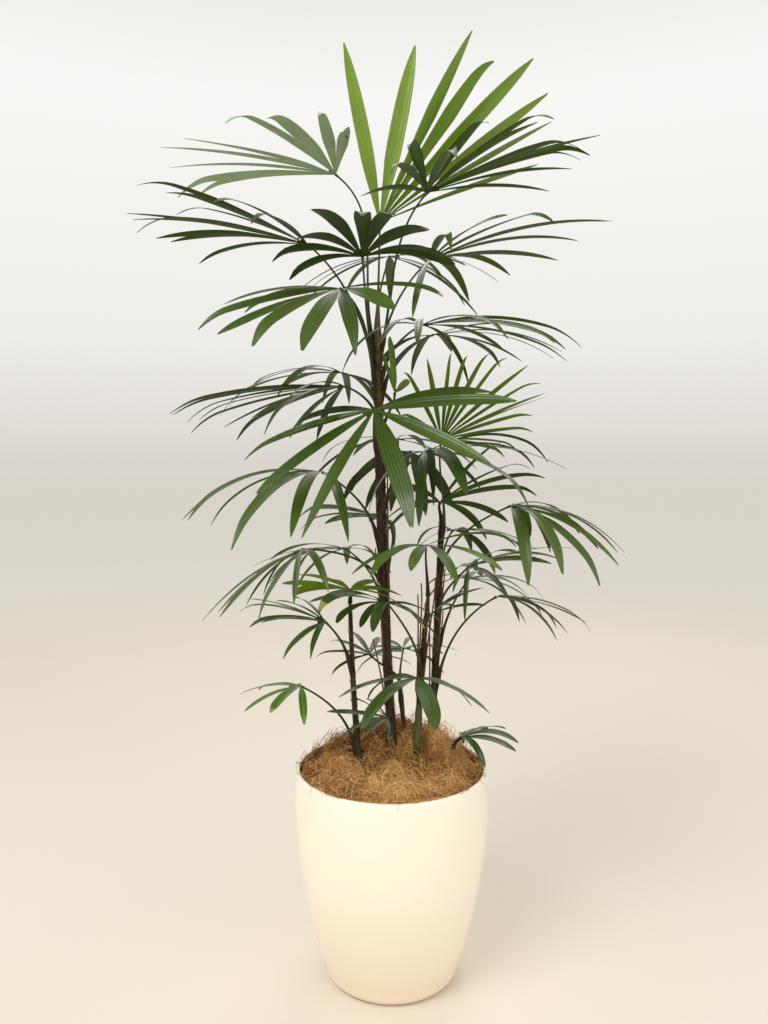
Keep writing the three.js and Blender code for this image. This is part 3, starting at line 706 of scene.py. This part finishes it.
def stalk_base(frond):
    """Points where a stalk runs down beside its cane below its foot and sinks into the bark."""
    cane, at = frond["row"][1:3]
    foot = frond["stalk"][0]
    if at >= CANES[cane][1][2]:
        return foot[None]
    inward = unit(bezier(cane_curve(cane), cane_share(cane, at)) - foot)
    run = np.linspace(BASE_RUN, 0, BASE_POINTS)[:, None]
    return foot + run * (BASE_SLOPE * inward - (0, 0, 1))


def stalks(fronds, finishes):
    """Thin stalks with a brown clasping base at the cane and a small knob at the hub."""
    shape = Shape()
    for frond in fronds:
        curve = frond["stalk"]
        reach = norm(curve[3] - curve[0])
        t = np.linspace(0, 1, max(STALK_POINTS, int(reach / STALK_STEP)))
        clasp = CLASP[0] * np.exp(-t * reach / CLASP[1])
        knob = KNOB[0] * np.exp(-(((1 - t) * reach) / KNOB[1]) ** 2)
        radii = STALK_SLIMMER * blend(*STALK_RADII, t) + clasp + knob
        base = stalk_base(frond)
        widening = blend(BASE_NARROW, 1, np.linspace(0, 1, len(base) + 1)[:-1])
        path = np.vstack((base[:-1], bezier(curve, t)))
        radii = np.concatenate((radii[0] * widening[:-1], radii))
        brown = np.arange(len(path)) * reach / (len(t) - 1) < BROWN_TO
        tube(shape, path, radii, STALK_SIDES, brown)
    shape.fit([], "leaf_stalks", finishes, sharp=60)


# Canes

CANE_FINE_SIDES = 24
CANE_RING = 2.5
CANE_SLIMMER = 0.94  # a fine cane's radius against the solid's
SHEATH_STEP = 34  # between the upper edges of two leaf sheaths
SHEATH_SPACING = (0.7, 1.3)  # of that step
SHEATH_SLANT = 9  # how far an edge runs up and down round the cane
# Notches in an edge: how deep, how many round the cane, and how far its lean turns them
NOTCHES = ((1.6, 5, 3), (0.9, 11, 1))
SHEATH_DEPTH = 0.95
SHEATH_FADE = 0.55  # of the step, down from an edge
FIBRE_GRAIN = 0.22
GRAIN_RINGS = 6
CROWN_REACH = 0.34  # a cane runs on past its tip for this share of the way to the hub above it
CROWN_LONGEST = 44
CROWN_POWER = 0.7
SLIM_FROM = 0.66  # of a cane's length: above it the cane is slimmer than its solid
SLIMMER = 0.34
# How fibrous each cane is (1 is the most), and how many fibres cross it
CANE_FIBRES = {
    "main": (1, 950),
    "left": (0.5, 260),
    "middle": (0.35, 130),
    "right": (0.9, 560),
    "back": (0.3, 40),
    "young": (0.3, 24),
}
FIBRE_POINTS = 9
FIBRE_PLACE = (0.03, 0.98)
FIBRE_ENDS = (0.01, 0.995)
FIBRE_AWAY = 0.6  # from the cane, and more on a fibrous one
FIBRE_SPREAD = 0.35
FIBRE_LENGTH = (12, 34)
FIBRE_RADIUS = (0.16, 0.4)
FIBRE_SLOPE = (0.5, 2.2)
FRAYED = 0.16  # share of the fibres
FRAYED_AWAY = (1, 6)
PALE_FROM = 540  # up a cane, its fibres are paler from here
# Old stalks that stand beside a cane without a blade: how many on each, and their length
OLD_STALKS = {"main": 5, "middle": 4, "right": 3}
OLD_STALK_LENGTH = (90, 210)
OLD_STALK_FOOT = (0.12, 0.6)  # share of the way up its cane
OLD_STALK_CLEAR = 1.6  # from the cane at its foot
OLD_STALK_AWAY = (4, 16)  # more at its top
OLD_STALK_BEND = 1.5
OLD_STALK_RADII = (1.35, 0.95)
OLD_STALK_SIDES = 8
CANE_SEED = 40


def cane_radius(cane, t):
    """Radius under the relief at shares t of a cane's length."""
    slim = 1 - SLIMMER * np.clip((t - SLIM_FROM) / (1 - SLIM_FROM), 0, 1)
    return np.maximum(CANE_SLIMMER * slim * blend(*CANES[cane][3], t), 2)


def cane_line(name):
    """A cane's curve, and its length from foot to tip."""
    curve = cane_curve(name)
    return curve, norm(curve[2] - curve[0])


def top_stalk(cane, fronds):
    tip = CANES[cane][1][2]
    return next(frond["stalk"] for frond in fronds if frond["row"][1] == cane and frond["row"][2] >= tip)


def sheath_relief(run, turn, strength, draw):
    """How far old leaf sheaths stand out of a cane at heights run and turns about it."""
    count = int(run.max() / SHEATH_STEP) + 2
    relief = 0
    for edge in np.cumsum(draw.uniform(*SHEATH_SPACING, count)) * SHEATH_STEP:
        lean = draw.uniform(0, TURN)
        ragged = sum(deep * np.cos(many * turn + shift * lean) for deep, many, shift in NOTCHES)
        below = edge + SHEATH_SLANT * np.cos(turn - lean) + ragged - run
        swell = (below >= 0) * np.exp(-np.maximum(below, 0) / (SHEATH_FADE * SHEATH_STEP))
        relief = np.maximum(relief, swell)
    return SHEATH_DEPTH * strength * relief


def cane(name, finish, fronds):
    """A cane with the slanted, frayed edges of old sheaths and a grain that runs along it.

    Its top narrows to the stalk that grows out of it.
    """
    strength = CANE_FIBRES[name][0]
    draw = default_rng(CANE_SEED + list(CANES).index(name))
    curve, length = cane_line(name)
    t = np.linspace(0, 1, round(length / CANE_RING) + 1)
    turn = ring_turns(CANE_FINE_SIDES)
    radii = cane_radius(name, t)[:, None]
    radii = radii + sheath_relief((t * length)[:, None], turn[None], strength, draw)
    coarse = draw.normal(0, 1, (len(t) // GRAIN_RINGS + 2, CANE_FINE_SIDES))
    at = np.arange(len(t)) / GRAIN_RINGS
    k = at.astype(int)
    grain = blend(coarse[k], coarse[k + 1], (at - k)[:, None])
    radii = radii + FIBRE_GRAIN * strength * grain
    stalk = top_stalk(name, fronds)
    reach = norm(stalk[3] - stalk[0])
    rise = min(CROWN_LONGEST, CROWN_REACH * reach) / CANE_RING
    s = np.arange(1, ceil(rise) + 1) / ceil(rise)
    path = np.vstack((bezier(curve, t), bezier(stalk, s * rise * CANE_RING / reach)))
    narrow = blend(radii[-1], STALK_RADII[0], (s ** CROWN_POWER)[:, None])
    shape = Shape()
    tube(shape, path, np.vstack((radii, narrow)), CANE_FINE_SIDES, 0)
    shape.fit(["cane_" + name], "cane_" + name + "_bark", [finish], sharp=50)


def cane_fibres(finishes):
    """The net of fibres round the canes, some with an end that stands away."""
    shape = Shape()
    for order, (name, (strength, count)) in enumerate(CANE_FIBRES.items()):
        draw = default_rng(2 * CANE_SEED + order)
        curve, length = cane_line(name)
        s = np.linspace(-0.5, 0.5, FIBRE_POINTS)
        each = count, 1
        reach = draw.uniform(*FIBRE_LENGTH, each)
        t = draw.uniform(*FIBRE_PLACE, each) + s * reach / length
        t = np.clip(t, *FIBRE_ENDS)
        slope = draw.choice((-1, 1), each) * draw.uniform(*FIBRE_SLOPE, each)
        turn = draw.uniform(0, TURN, each) + slope * s
        frayed = (draw.random(each) < FRAYED) * draw.uniform(*FRAYED_AWAY, each)
        away = FIBRE_AWAY + 0.5 * strength + draw.uniform(-FIBRE_SPREAD, FIBRE_SPREAD, each)
        radius = cane_radius(name, t) + away + frayed * np.clip(2 * s, 0, 1) ** 2
        dealt = draw.integers(0, len(finishes), count)
        dealt = np.where(t.mean(axis=1) * length > PALE_FROM, np.maximum(dealt, 1), dealt)
        paths = bezier(curve, t)
        paths[..., 0] += radius * np.cos(turn)
        paths[..., 1] += radius * np.sin(turn)
        hairs(shape, paths, draw.uniform(*FIBRE_RADIUS, count), dealt)
    shape.fit([], "cane_fibres", finishes)


def old_stalks(finishes):
    """Bare brown stalks left by shed blades, close beside the canes."""
    shape = Shape()
    for order, (name, count) in enumerate(OLD_STALKS.items()):
        draw = default_rng(3 * CANE_SEED + order)
        curve, length = cane_line(name)
        for turn in draw.uniform(0, TURN, count):
            reach = draw.uniform(*OLD_STALK_LENGTH)
            start = draw.uniform(*OLD_STALK_FOOT)
            s = np.linspace(0, 1, STALK_POINTS)
            path = bezier(curve, np.minimum(start + s * reach / length, 1))
            path[:, 2] = path[0, 2] + s * reach
            away = draw.uniform(*OLD_STALK_AWAY) * s ** OLD_STALK_BEND
            away = OLD_STALK_CLEAR + blend(*CANES[name][3], start) + away
            path = path + np.outer(away, outward(turn))
            tube(shape, path, blend(*OLD_STALK_RADII, s), OLD_STALK_SIDES, 0)
    shape.fit([], "old_stalks", finishes, sharp=60)


# Pot

HEEL_ARC = 14
SIDE_ARC = 40
LIP_ARC = 12
POT_FLOOR = 8


def pot_radius(z):
    """Outer radius of the pot's side at a height above the heel."""
    if z <= POT_BELLY_HEIGHT:
        t = (z - POT_HEEL_HEIGHT) / (POT_BELLY_HEIGHT - POT_HEEL_HEIGHT)
        return blend(POT_HEEL_RADIUS, POT_BELLY_RADIUS, 1 - (1 - t) ** 2)
    t = (z - POT_BELLY_HEIGHT) / (POT_HEIGHT - POT_BELLY_HEIGHT)
    return blend(POT_BELLY_RADIUS, POT_RIM_RADIUS, t ** 2)


def pot(finish):
    """The pot in one turned piece: foot, rounded heel, side, round lip and inside."""
    outline = [(0, 0)]
    for turn in np.linspace(0, pi / 2, HEEL_ARC):
        radius = blend(POT_FOOT_RADIUS, POT_HEEL_RADIUS, sin(turn))
        outline.append((radius, POT_HEEL_HEIGHT * (1 - cos(turn))))
    lip_bottom = POT_HEIGHT - POT_LIP_ROUND
    heights = np.linspace(POT_HEEL_HEIGHT, lip_bottom, SIDE_ARC)
    outline += [(pot_radius(z), z) for z in heights[1:]]
    for turn in np.linspace(0, pi, LIP_ARC)[1:]:
        radius = POT_RIM_RADIUS - POT_WALL / 2 * (1 - cos(turn))
        outline.append((radius, lip_bottom + POT_LIP_ROUND * sin(turn)))
    outline += [(pot_radius(z) - POT_WALL, z) for z in heights[-2::-1]]
    outline += [(POT_FOOT_RADIUS, POT_FLOOR), (0, POT_FLOOR)]
    shape = Shape()
    turned(shape, outline, POT_SIDES, 0)
    shape.fit(["pot"], "pot_shell", [finish], sharp=40)


# Coir

COIR_RADIUS = 134
COIR_BELOW_RIM = 9
COIR_SUNK = 3  # between clumps, below the solid coir
COIR_EDGE_POWER = 10  # the higher, the nearer to the wall it falls off
BED_SUNK = 1.5  # below the coir's strands
BED_ROUGHNESS = 0.5
COIR_RINGS = 56
COIR_SIDES = 168
CLUMPS = 84
CLUMPS_REACH = 120
CLUMP_SPREAD = (5, 15)
CLUMP_HEIGHT = (3, 13)
COIR_BATCHES = "abc"
STRANDS = 2700  # in each batch
STRAND_POINTS = 10
STRAND_REACH = 131
STRAND_RADIUS = (0.14, 0.42)
STRAND_LENGTH = (26, 88)
STRAND_BENDS = ((1.9, 0.5), (1, 1.3), (0.4, 2.6))  # how much, and how many waves a strand
STRAND_LIFT = 1.5
STRAND_WAVE = (0.3, 2.4)
STRAND_WAVES = 1.7
LOOPS = 0.22  # share of the strands that stand up in an arc
LOOP_REACH = (-6, 11)  # from the reach of the others
LOOP_LEAN = (0.8, 1.6)
LOOP_HEIGHTS = (4, 6, 26)  # the least, the mean above it and the most
CANE_CLEAR = 1.4  # between a strand's middle and a cane
STRAYS = 3
STRAY_DRIFT = 28
STRAY_DROP = 5
STRAY_RADIUS = 0.3
STRAY_FINISH = 2
# Points that a stray is drawn to: out from the middle, share of its drift aside, and height
STRAY_CURVE = ((116, 0, 303), (131, 0.3, 318), (147, 1, 314), (149, 1.2, 302))
# Patches where the coir is painted darker, as painted shade under the plant: centre x, y and spread
SHADE_PATCHES = ((-58, 66, 46), (30, 96, 40), (-20, 10, 26))
SHADE_DARKER = 0.6
# How much paler strands high on the clumps are: painted light on the heaps' tops.
RELIEF_PAINTED_LIGHT = 0.45
COIR_SEED = 300
BED_SEED = 350


def coir_level(x, y):
    """Top of the coir, heaped in clumps and lower towards the wall."""
    draw = default_rng(COIR_SEED)
    level = mulch_level(x, y) - COIR_SUNK
    for _ in range(CLUMPS):
        out = CLUMPS_REACH * sqrt(draw.random())
        turn = draw.uniform(0, TURN)
        clump = heap(x, y, out * cos(turn), out * sin(turn), draw.uniform(*CLUMP_SPREAD))
        level = level + draw.uniform(*CLUMP_HEIGHT) * clump
    edge = np.minimum(np.hypot(x, y) / COIR_RADIUS, 1)
    return blend(level, np.minimum(level, POT_HEIGHT - COIR_BELOW_RIM), edge ** COIR_EDGE_POWER)


def clear_of_canes(points):
    for foot, _, _, radii in CANES.values():
        off = points[..., :2] - foot
        away = norm(off, axis=-1, keepdims=True)
        points[..., :2] += off / np.maximum(away, 1e-6) * np.maximum(radii[0] + CANE_CLEAR - away, 0)
    return points


def coir_bed(finish):
    """The matted body of the coir, which the loose strands lie on."""
    outline = [(0, ON_MIX), (COIR_RADIUS, ON_MIX)]
    outline += [(COIR_RADIUS * k / COIR_RINGS, POT_HEIGHT) for k in range(COIR_RINGS, 0, -1)]
    outline.append((0, POT_HEIGHT))
    shape = Shape()
    turned(shape, outline, COIR_SIDES, 0)
    points = shape.points[0]
    top = points[:, 2] > ON_MIX + 1
    x, y = points[top, 0], points[top, 1]
    draw = default_rng(BED_SEED)
    points[top, 2] = coir_level(x, y) - BED_SUNK + draw.normal(0, BED_ROUGHNESS, len(x))
    shape.fit(["coir_mulch"], "coir_bed", [finish])


def coir_strands(batch, finishes):
    """Curly strands that lie over the bed and through each other, some in arcs above it."""
    draw = default_rng(COIR_SEED + 1 + batch)
    each = STRANDS, 1
    s = np.linspace(0, 1, STRAND_POINTS)
    length = draw.uniform(*STRAND_LENGTH, each)
    heading = draw.uniform(0, TURN, each)
    for bend, waves in STRAND_BENDS:
        swing = draw.normal(0, bend, each)
        heading = heading + swing * np.sin(TURN * (waves * s + draw.random(each)))
    start = STRAND_REACH * np.sqrt(draw.random(each))
    turn = draw.uniform(0, TURN, each)
    step = length / STRAND_POINTS
    x = start * np.cos(turn) + np.cumsum(np.cos(heading) * step, axis=1)
    y = start * np.sin(turn) + np.cumsum(np.sin(heading) * step, axis=1)
    looped = draw.random(each) < LOOPS
    reach = STRAND_REACH + looped * draw.uniform(*LOOP_REACH, each)
    x, y = (x, y) * np.minimum(1, reach / np.hypot(x, y))
    lift = draw.exponential(STRAND_LIFT, each)
    wave = draw.uniform(*STRAND_WAVE, each) * np.sin(TURN * (STRAND_WAVES * s + draw.random(each)))
    lean = draw.uniform(*LOOP_LEAN, each)
    least, mean, most = LOOP_HEIGHTS
    arc = looped * (least + draw.exponential(mean, each)) * np.sin(pi * s ** lean)
    level = coir_level(x, y)
    low = np.where(looped & (np.hypot(x, y) > STRAND_REACH), POT_HEIGHT + 1, 0)
    z = np.maximum(level + lift + wave + np.minimum(arc, most), low)
    paths = clear_of_canes(np.stack((x, y, z), axis=-1))
    shape = Shape()
    # Strands high on the clumps lean to paler colours: painted light on the heaps' tops.
    relief = np.mean(level - mulch_level(x, y), axis=1) / CLUMP_HEIGHT[1]
    # Strands in the patches lean to darker colours: painted shade.
    painted_shade = np.minimum(sum(heap(x.mean(axis=1), y.mean(axis=1), *patch) for patch in SHADE_PATCHES), 1)
    pick = draw.random(STRANDS) - RELIEF_PAINTED_LIGHT * relief + SHADE_DARKER * painted_shade
    dealt = np.searchsorted(np.cumsum(STRAND_SHARES)[:-1], pick)
    hairs(shape, paths, draw.uniform(*STRAND_RADIUS, STRANDS), dealt)
    if batch == 0:
        over_rim(shape, draw)
    shape.fit([], "coir_strands_" + COIR_BATCHES[batch], finishes)


def over_rim(shape, draw):
    for turn in draw.uniform(0, TURN, STRAYS):
        aside = np.array((-sin(turn), cos(turn), 0)) * draw.uniform(-STRAY_DRIFT, STRAY_DRIFT)
        curve = [outward(turn) * out + aside * share + (0, 0, z) for out, share, z in STRAY_CURVE]
        curve[-1][2] -= draw.uniform(0, STRAY_DROP)
        path = bezier(curve, np.linspace(0, 1, STRAND_POINTS))
        hairs(shape, path[None], np.array([STRAY_RADIUS]), [STRAY_FINISH])


# Materials


def rgb(*levels):
    """A colour from its red, green and blue on a screen, 0 to 255."""
    shares = [level / 255 for level in levels]
    return [c / 12.92 if c <= 0.04045 else ((c + 0.055) / 1.055) ** 2.4 for c in shares]


def set_stops(ramp, stops):
    elements = ramp.color_ramp.elements
    elements.remove(elements[1])
    elements[0].position = stops[0][0]
    elements[0].color = (*stops[0][1], 1)
    for place, colour in stops[1:]:
        elements.new(place).color = (*colour, 1)


def sums(operation):
    """The two methods of an operator: as it stands, and with its sides the other way round."""
    def plain(wire, other):
        return wire.nodes.node("Math", {"operation": operation}, {0: wire, 1: other})

    def reflected(wire, other):
        return wire.nodes.node("Math", {"operation": operation}, {0: other, 1: wire})

    return plain, reflected


class Wire:
    """The output of a node, which takes part in sums."""

    __add__, __radd__ = sums("ADD")
    __sub__, __rsub__ = sums("SUBTRACT")
    __mul__, __rmul__ = sums("MULTIPLY")

    def __init__(self, nodes, socket):
        self.nodes = nodes
        self.socket = socket


class Nodes:
    """The nodes of a material or of the sky, over the place that its colours depend on."""

    def __init__(self, tree, place):
        self.tree = tree
        self.place = self.node("TexCoord", output=place)

    def feed(self, socket, value):
        if isinstance(value, Wire):
            self.tree.links.new(value.socket, socket)
        elif socket.type == "RGBA":
            socket.default_value = (*value, 1)
        else:
            socket.default_value = value

    def node(self, kind, settings=None, sockets=None, output=0):
        """A node of a kind, with its settings made first and its sockets then fed."""
        node = self.tree.nodes.new("ShaderNode" + kind)
        for key, value in (settings or {}).items():
            if key == "stops":
                set_stops(node, value)
            else:
                setattr(node, key, value)
        for key, value in (sockets or {}).items():
            self.feed(node.inputs[key], value)
        return Wire(self, node.outputs[output])

    def height(self):
        return self.node("SeparateXYZ", None, {0: self.place}, "Z")


MIX_FACTOR, MIX_A, MIX_B, MIX_COLOUR = 0, 6, 7, 2


class Finish(Nodes):
    """A material as it is made. What is the same all over is set on its shader's own sockets."""

    def __init__(self, name, sheen, plain=None):
        self.material = bpy.data.materials.new(name)
        self.material.use_nodes = True
        super().__init__(self.material.node_tree, "Object")
        self.shader = self.tree.nodes["Principled BSDF"]
        self.shader.inputs["Specular IOR Level"].default_value = sheen
        for socket, value in (plain or {}).items():
            self.feed(self.shader.inputs[socket], value)

    def noise(self, size, detail=3, stretch=(1, 1, 1)):
        """A soft pattern between 0 and 1 whose patches are about size millimetres across."""
        place = self.node("VectorMath", {"operation": "MULTIPLY"}, {0: self.place, 1: stretch})
        scale = 1 / (size * METRES)
        return self.node("TexNoise", None, {"Vector": place, "Scale": scale, "Detail": detail})

    def step(self, value, low, reach):
        """0 below low, and a smooth rise to 1 over reach."""
        sockets = {"Value": value, "From Min": low, "From Max": low + reach}
        return self.node("MapRange", {"interpolation_type": "SMOOTHSTEP"}, sockets)

    def mix(self, share, a, b):
        sockets = {MIX_FACTOR: share, MIX_A: a, MIX_B: b}
        return self.node("Mix", {"data_type": "RGBA"}, sockets, MIX_COLOUR)

    def uneven(self, size, colour, darkest, lightest):
        """A colour that drifts in patches between two shares of itself."""
        colour = np.array(rgb(*colour))
        return self.mix(self.noise(size, 2), colour * darkest, colour * lightest)

    def wear(self, colour, roughness=None, bump=None, depth=0.1):
        """Feeds what varies over the surface. depth is the bump's height in millimetres."""
        self.feed(self.shader.inputs["Base Color"], colour)
        if roughness is not None:
            self.feed(self.shader.inputs["Roughness"], roughness)
        if bump is not None:
            normal = self.node("Bump", None, {"Height": bump, "Distance": depth * METRES})
            self.feed(self.shader.inputs["Normal"], normal)
        return self.material


def pot_finish():
    """Smooth warm white with a soft shine, a little duller and dustier near the foot. Its lower part
    fades to peach, a painted warm reflection of the floor.
    """
    finish = Finish("white_pot", 0.5, {"Coat Weight": 0.4, "Coat Roughness": 0.12})
    dust = (1 - finish.step(finish.height(), 0, 0.05)) * finish.noise(9, 5)
    upper = finish.mix(finish.noise(60), rgb(255, 249, 228), rgb(255, 251, 235))
    # The lower part fades to peach: a painted warm reflection of the floor, not the glaze's own colour.
    colour = finish.mix(finish.step(finish.height(), -0.04, 0.28), rgb(248, 230, 206), upper)
    colour = finish.mix(dust * 0.3, colour, rgb(214, 196, 170))
    roughness = 0.26 + 0.1 * finish.noise(24) + 0.25 * dust
    return finish.wear(colour, roughness, finish.noise(1.4, 2) + 3 * finish.noise(35, 1), 0.05)


def leaf_finish(name, colour, dullness, under):
    """A leaf blade in one plain colour, a little uneven, with a satin shine on its upper face."""
    finish = Finish(name, UNDER_SHEEN if under else UPPER_SHEEN)
    shade = finish.uneven(45, colour, 0.8, 1.2)
    roughness = dullness + UNDER_DULLER * under + 0.12 * finish.noise(12, 2)
    return finish.wear(shade, roughness, finish.noise(1.6, 2), 0.04)


def fibre_finishes(colours):
    """Plant fibres, each kind in one colour with a grain along it."""
    finishes = []
    for name, colour in colours.items():
        finish = Finish(name, 0.3)
        shade = finish.uneven(7, colour, 0.72, 1.25)
        finishes.append(finish.wear(shade, 0.62 + 0.2 * finish.noise(3, 2)))
    return finishes


def bark_finish(name, dark, light, foot=None, foot_top=0, crown=None, crown_foot=0):
    """Fibrous sheath with a grain up the cane. Its foot and crown can have colours of their own."""
    finish = Finish(name, 0.35)
    grain = finish.noise(1.1, 4, (1, 1, 0.06))
    patches = finish.noise(16, 3, (1, 1, 0.5))
    shade = finish.mix(finish.step(grain * 0.6 + patches * 0.6, 0.45, 0.4), dark, light)
    if foot:
        above = finish.step(finish.height() + 0.03 * patches, foot_top, 0.04)
        shade = finish.mix(above, foot, shade)
    if crown:
        above = finish.step(finish.height() + 0.05 * patches, crown_foot, 0.1)
        shade = finish.mix(above * (0.5 + 0.5 * grain), shade, crown)
    return finish.wear(shade, 0.5 + 0.3 * grain, grain, 0.5)


def crumb_finish():
    """Dark, moist potting mix with pale grit."""
    finish = Finish("potting_mix", 0.25)
    crumb = finish.noise(3.2, 6)
    grit = finish.step(finish.noise(2.1, 2), 0.68, 0.06)
    shade = finish.mix(crumb, rgb(28, 20, 14), rgb(86, 62, 42))
    shade = finish.mix(grit * 0.8, shade, rgb(176, 164, 146))
    return finish.wear(shade, 0.8 + 0.15 * crumb, crumb, 2.5)


def coir_finish():
    finish = Finish("coir_bed", 0.2)
    mat = finish.noise(2.4, 6, (1, 0.5, 1))
    shade = finish.mix(finish.step(mat, 0.3, 0.4), rgb(104, 66, 32), rgb(206, 150, 88))
    return finish.wear(shade, 0.85 + 0.1 * mat, mat, 1.6)


# For each tint its dullness, then the parts' colours: three shades of the upper face come first, then
# the rib crests' lighter colour, a painted highlight along the ribs, then the under face
LEAF_PARTS = "a", "b", "c", "crest_highlight", "under"
LEAF_LOOKS = {
    "new": (0.36, (104, 136, 14), (94, 126, 12), (114, 144, 20), (116, 147, 26), (114, 145, 28)),
    "bright": (0.28, (80, 112, 25), (70, 102, 20), (91, 121, 31), (91, 121, 34), (92, 119, 32)),
    "mid": (0.25, (61, 84, 21), (51, 74, 16), (73, 95, 27), (71, 95, 28), (62, 85, 19)),
    "dark": (0.24, (48, 69, 18), (39, 59, 14), (60, 80, 24), (58, 79, 25), (53, 74, 18)),
    "pale": (0.34, (146, 168, 130), (134, 156, 118), (158, 180, 142), (158, 180, 144), (158, 182, 142)),
    "brown": (0.38, (68, 71, 28), (57, 61, 24), (77, 79, 34), (78, 80, 35), (77, 79, 34)),
}
DRY_TIP_COLOUR = (158, 150, 88)
DRY_DULLNESS = 0.4
UNDER_DULLER = 0.2
UPPER_SHEEN = 0.5
UNDER_SHEEN = 0.16
STALK_COLOURS = {"stalk_green": (58, 70, 38), "stalk_base": (58, 42, 30)}
FIBRE_COLOURS = {"fibre_dark": (40, 28, 21), "fibre_brown": (84, 61, 42), "fibre_pale": (128, 100, 68)}
OLD_STALK_COLOURS = {"old_stalk": (104, 66, 42)}
STRAND_COLOURS = {
    "coir_light": (255, 210, 140),
    "coir_tan": (238, 182, 108),
    "coir_brown": (190, 132, 70),
    "coir_dark": (108, 68, 34),
}
STRAND_SHARES = (0.3, 0.32, 0.24, 0.14)


def barks():
    woven = rgb(28, 21, 16), rgb(84, 62, 45)
    olive = bark_finish("bark_olive", rgb(44, 38, 24), rgb(98, 86, 52))
    return {
        "main": bark_finish("bark_main", *woven, rgb(70, 48, 30), 0.42, rgb(112, 98, 58), 0.8),
        "left": olive,
        "middle": bark_finish("bark_red", rgb(58, 32, 22), rgb(116, 74, 48), rgb(92, 104, 56), 0.4),
        "right": bark_finish("bark_dark", *woven),
        "back": olive,
        "young": olive,
    }


def dress():
    fronds = grow()
    dry = leaf_finish("leaf_tip_dry", DRY_TIP_COLOUR, DRY_DULLNESS, True)
    for tint, (dullness, *colours) in LEAF_LOOKS.items():
        finishes = []
        for part, colour in zip(LEAF_PARTS, colours):
            finishes.append(leaf_finish(f"leaf_{tint}_{part}", colour, dullness, part == "under"))
        leaves(fronds, tint, finishes + [dry])
    stalks(fronds, fibre_finishes(STALK_COLOURS))
    for name, bark in barks().items():
        cane(name, bark, fronds)
    cane_fibres(fibre_finishes(FIBRE_COLOURS))
    old_stalks(fibre_finishes(OLD_STALK_COLOURS))
    pot(pot_finish())
    coir_bed(coir_finish())
    strand_finishes = fibre_finishes(STRAND_COLOURS)
    for batch in range(len(COIR_BATCHES)):
        coir_strands(batch, strand_finishes)
    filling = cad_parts["potting_mix"].data.materials
    filling.clear()
    filling.append(crumb_finish())


# Room: floor, sky, lights and camera

FLOOR_RADIUS = 40
FLOOR_SIDES = 64
FLOOR_TOP = -0.1
FLOOR_BOTTOM = -0.4
FLOOR_COLOURS = (234, 225, 210), (240, 232, 219), (255, 251, 244)  # the last far off
FLOOR_NEAR = 1.4
FLOOR_DRIFT = 3.6
LENS = 28.125
CAMERA_PLACE = (-0.011, -1.160, 0.756)
CAMERA_PITCH = 3.59
# Soft lights: place, what they face, side of the square and power
LIGHTS = {
    "key": ((-1.3, -1.6, 2.9), (0, 0, 0.7), 1.4, 42),
    "fill": ((1.9, -1.5, 1.6), (0, 0, 0.6), 1.8, 10),
    "rim": ((0.6, 1.9, 2.6), (0, 0, 0.8), 1.6, 16),
}
# The sky's colour by the height of the view: level, and upwards to the zenith
SKY = (
    (0, (0.7, 0.67, 0.62)),
    (0.14, (0.86, 0.84, 0.81)),
    (0.4, (0.94, 0.93, 0.91)),
    (0.7, (0.62, 0.6, 0.56)),
    (1, (0.49, 0.47, 0.43)),
)


def ground():
    """A pale floor that grows lighter far off."""
    shape = Shape()
    edge = FLOOR_RADIUS / METRES
    outline = [(0, FLOOR_BOTTOM), (edge, FLOOR_BOTTOM), (edge, FLOOR_TOP), (0, FLOOR_TOP)]
    turned(shape, outline, FLOOR_SIDES, 0)
    finish = Finish("floor", 0.2, {"Roughness": 0.6})
    one, other, far = (rgb(*colour) for colour in FLOOR_COLOURS)
    away = finish.node("VectorMath", {"operation": "LENGTH"}, {0: finish.place}, "Value")
    near = finish.mix(finish.noise(700, 2), one, other)
    material = finish.wear(finish.mix(finish.step(away, FLOOR_NEAR, FLOOR_DRIFT), near, far))
    floor = shape.build("floor", [material], 30)


def sky():
    world = bpy.data.worlds.new("soft_sky")
    world.use_nodes = True
    nodes = Nodes(world.node_tree, "Generated")
    colour = nodes.node("ValToRGB", {"stops": SKY}, {0: nodes.height()})
    nodes.feed(nodes.tree.nodes["Background"].inputs["Color"], colour)
    SCENE.world = world


def lamps():
    for name, (place, target, side, power) in LIGHTS.items():
        light = bpy.data.lights.new(name, "AREA")
        light.size = side
        light.energy = power
        lamp = show(name, light)
        lamp.location = place
        lamp.rotation_euler = (Vector(target) - Vector(place)).to_track_quat("-Z", "Y").to_euler()


def view():
    lens = bpy.data.cameras.new("camera")
    lens.lens = LENS
    SCENE.camera = show("camera", lens)
    SCENE.camera.location = CAMERA_PLACE
    SCENE.camera.rotation_euler = (radians(90 - CAMERA_PITCH), 0, 0)
    SCENE.view_settings.view_transform = "Standard"


dress()
ground()
sky()
lamps()
view()
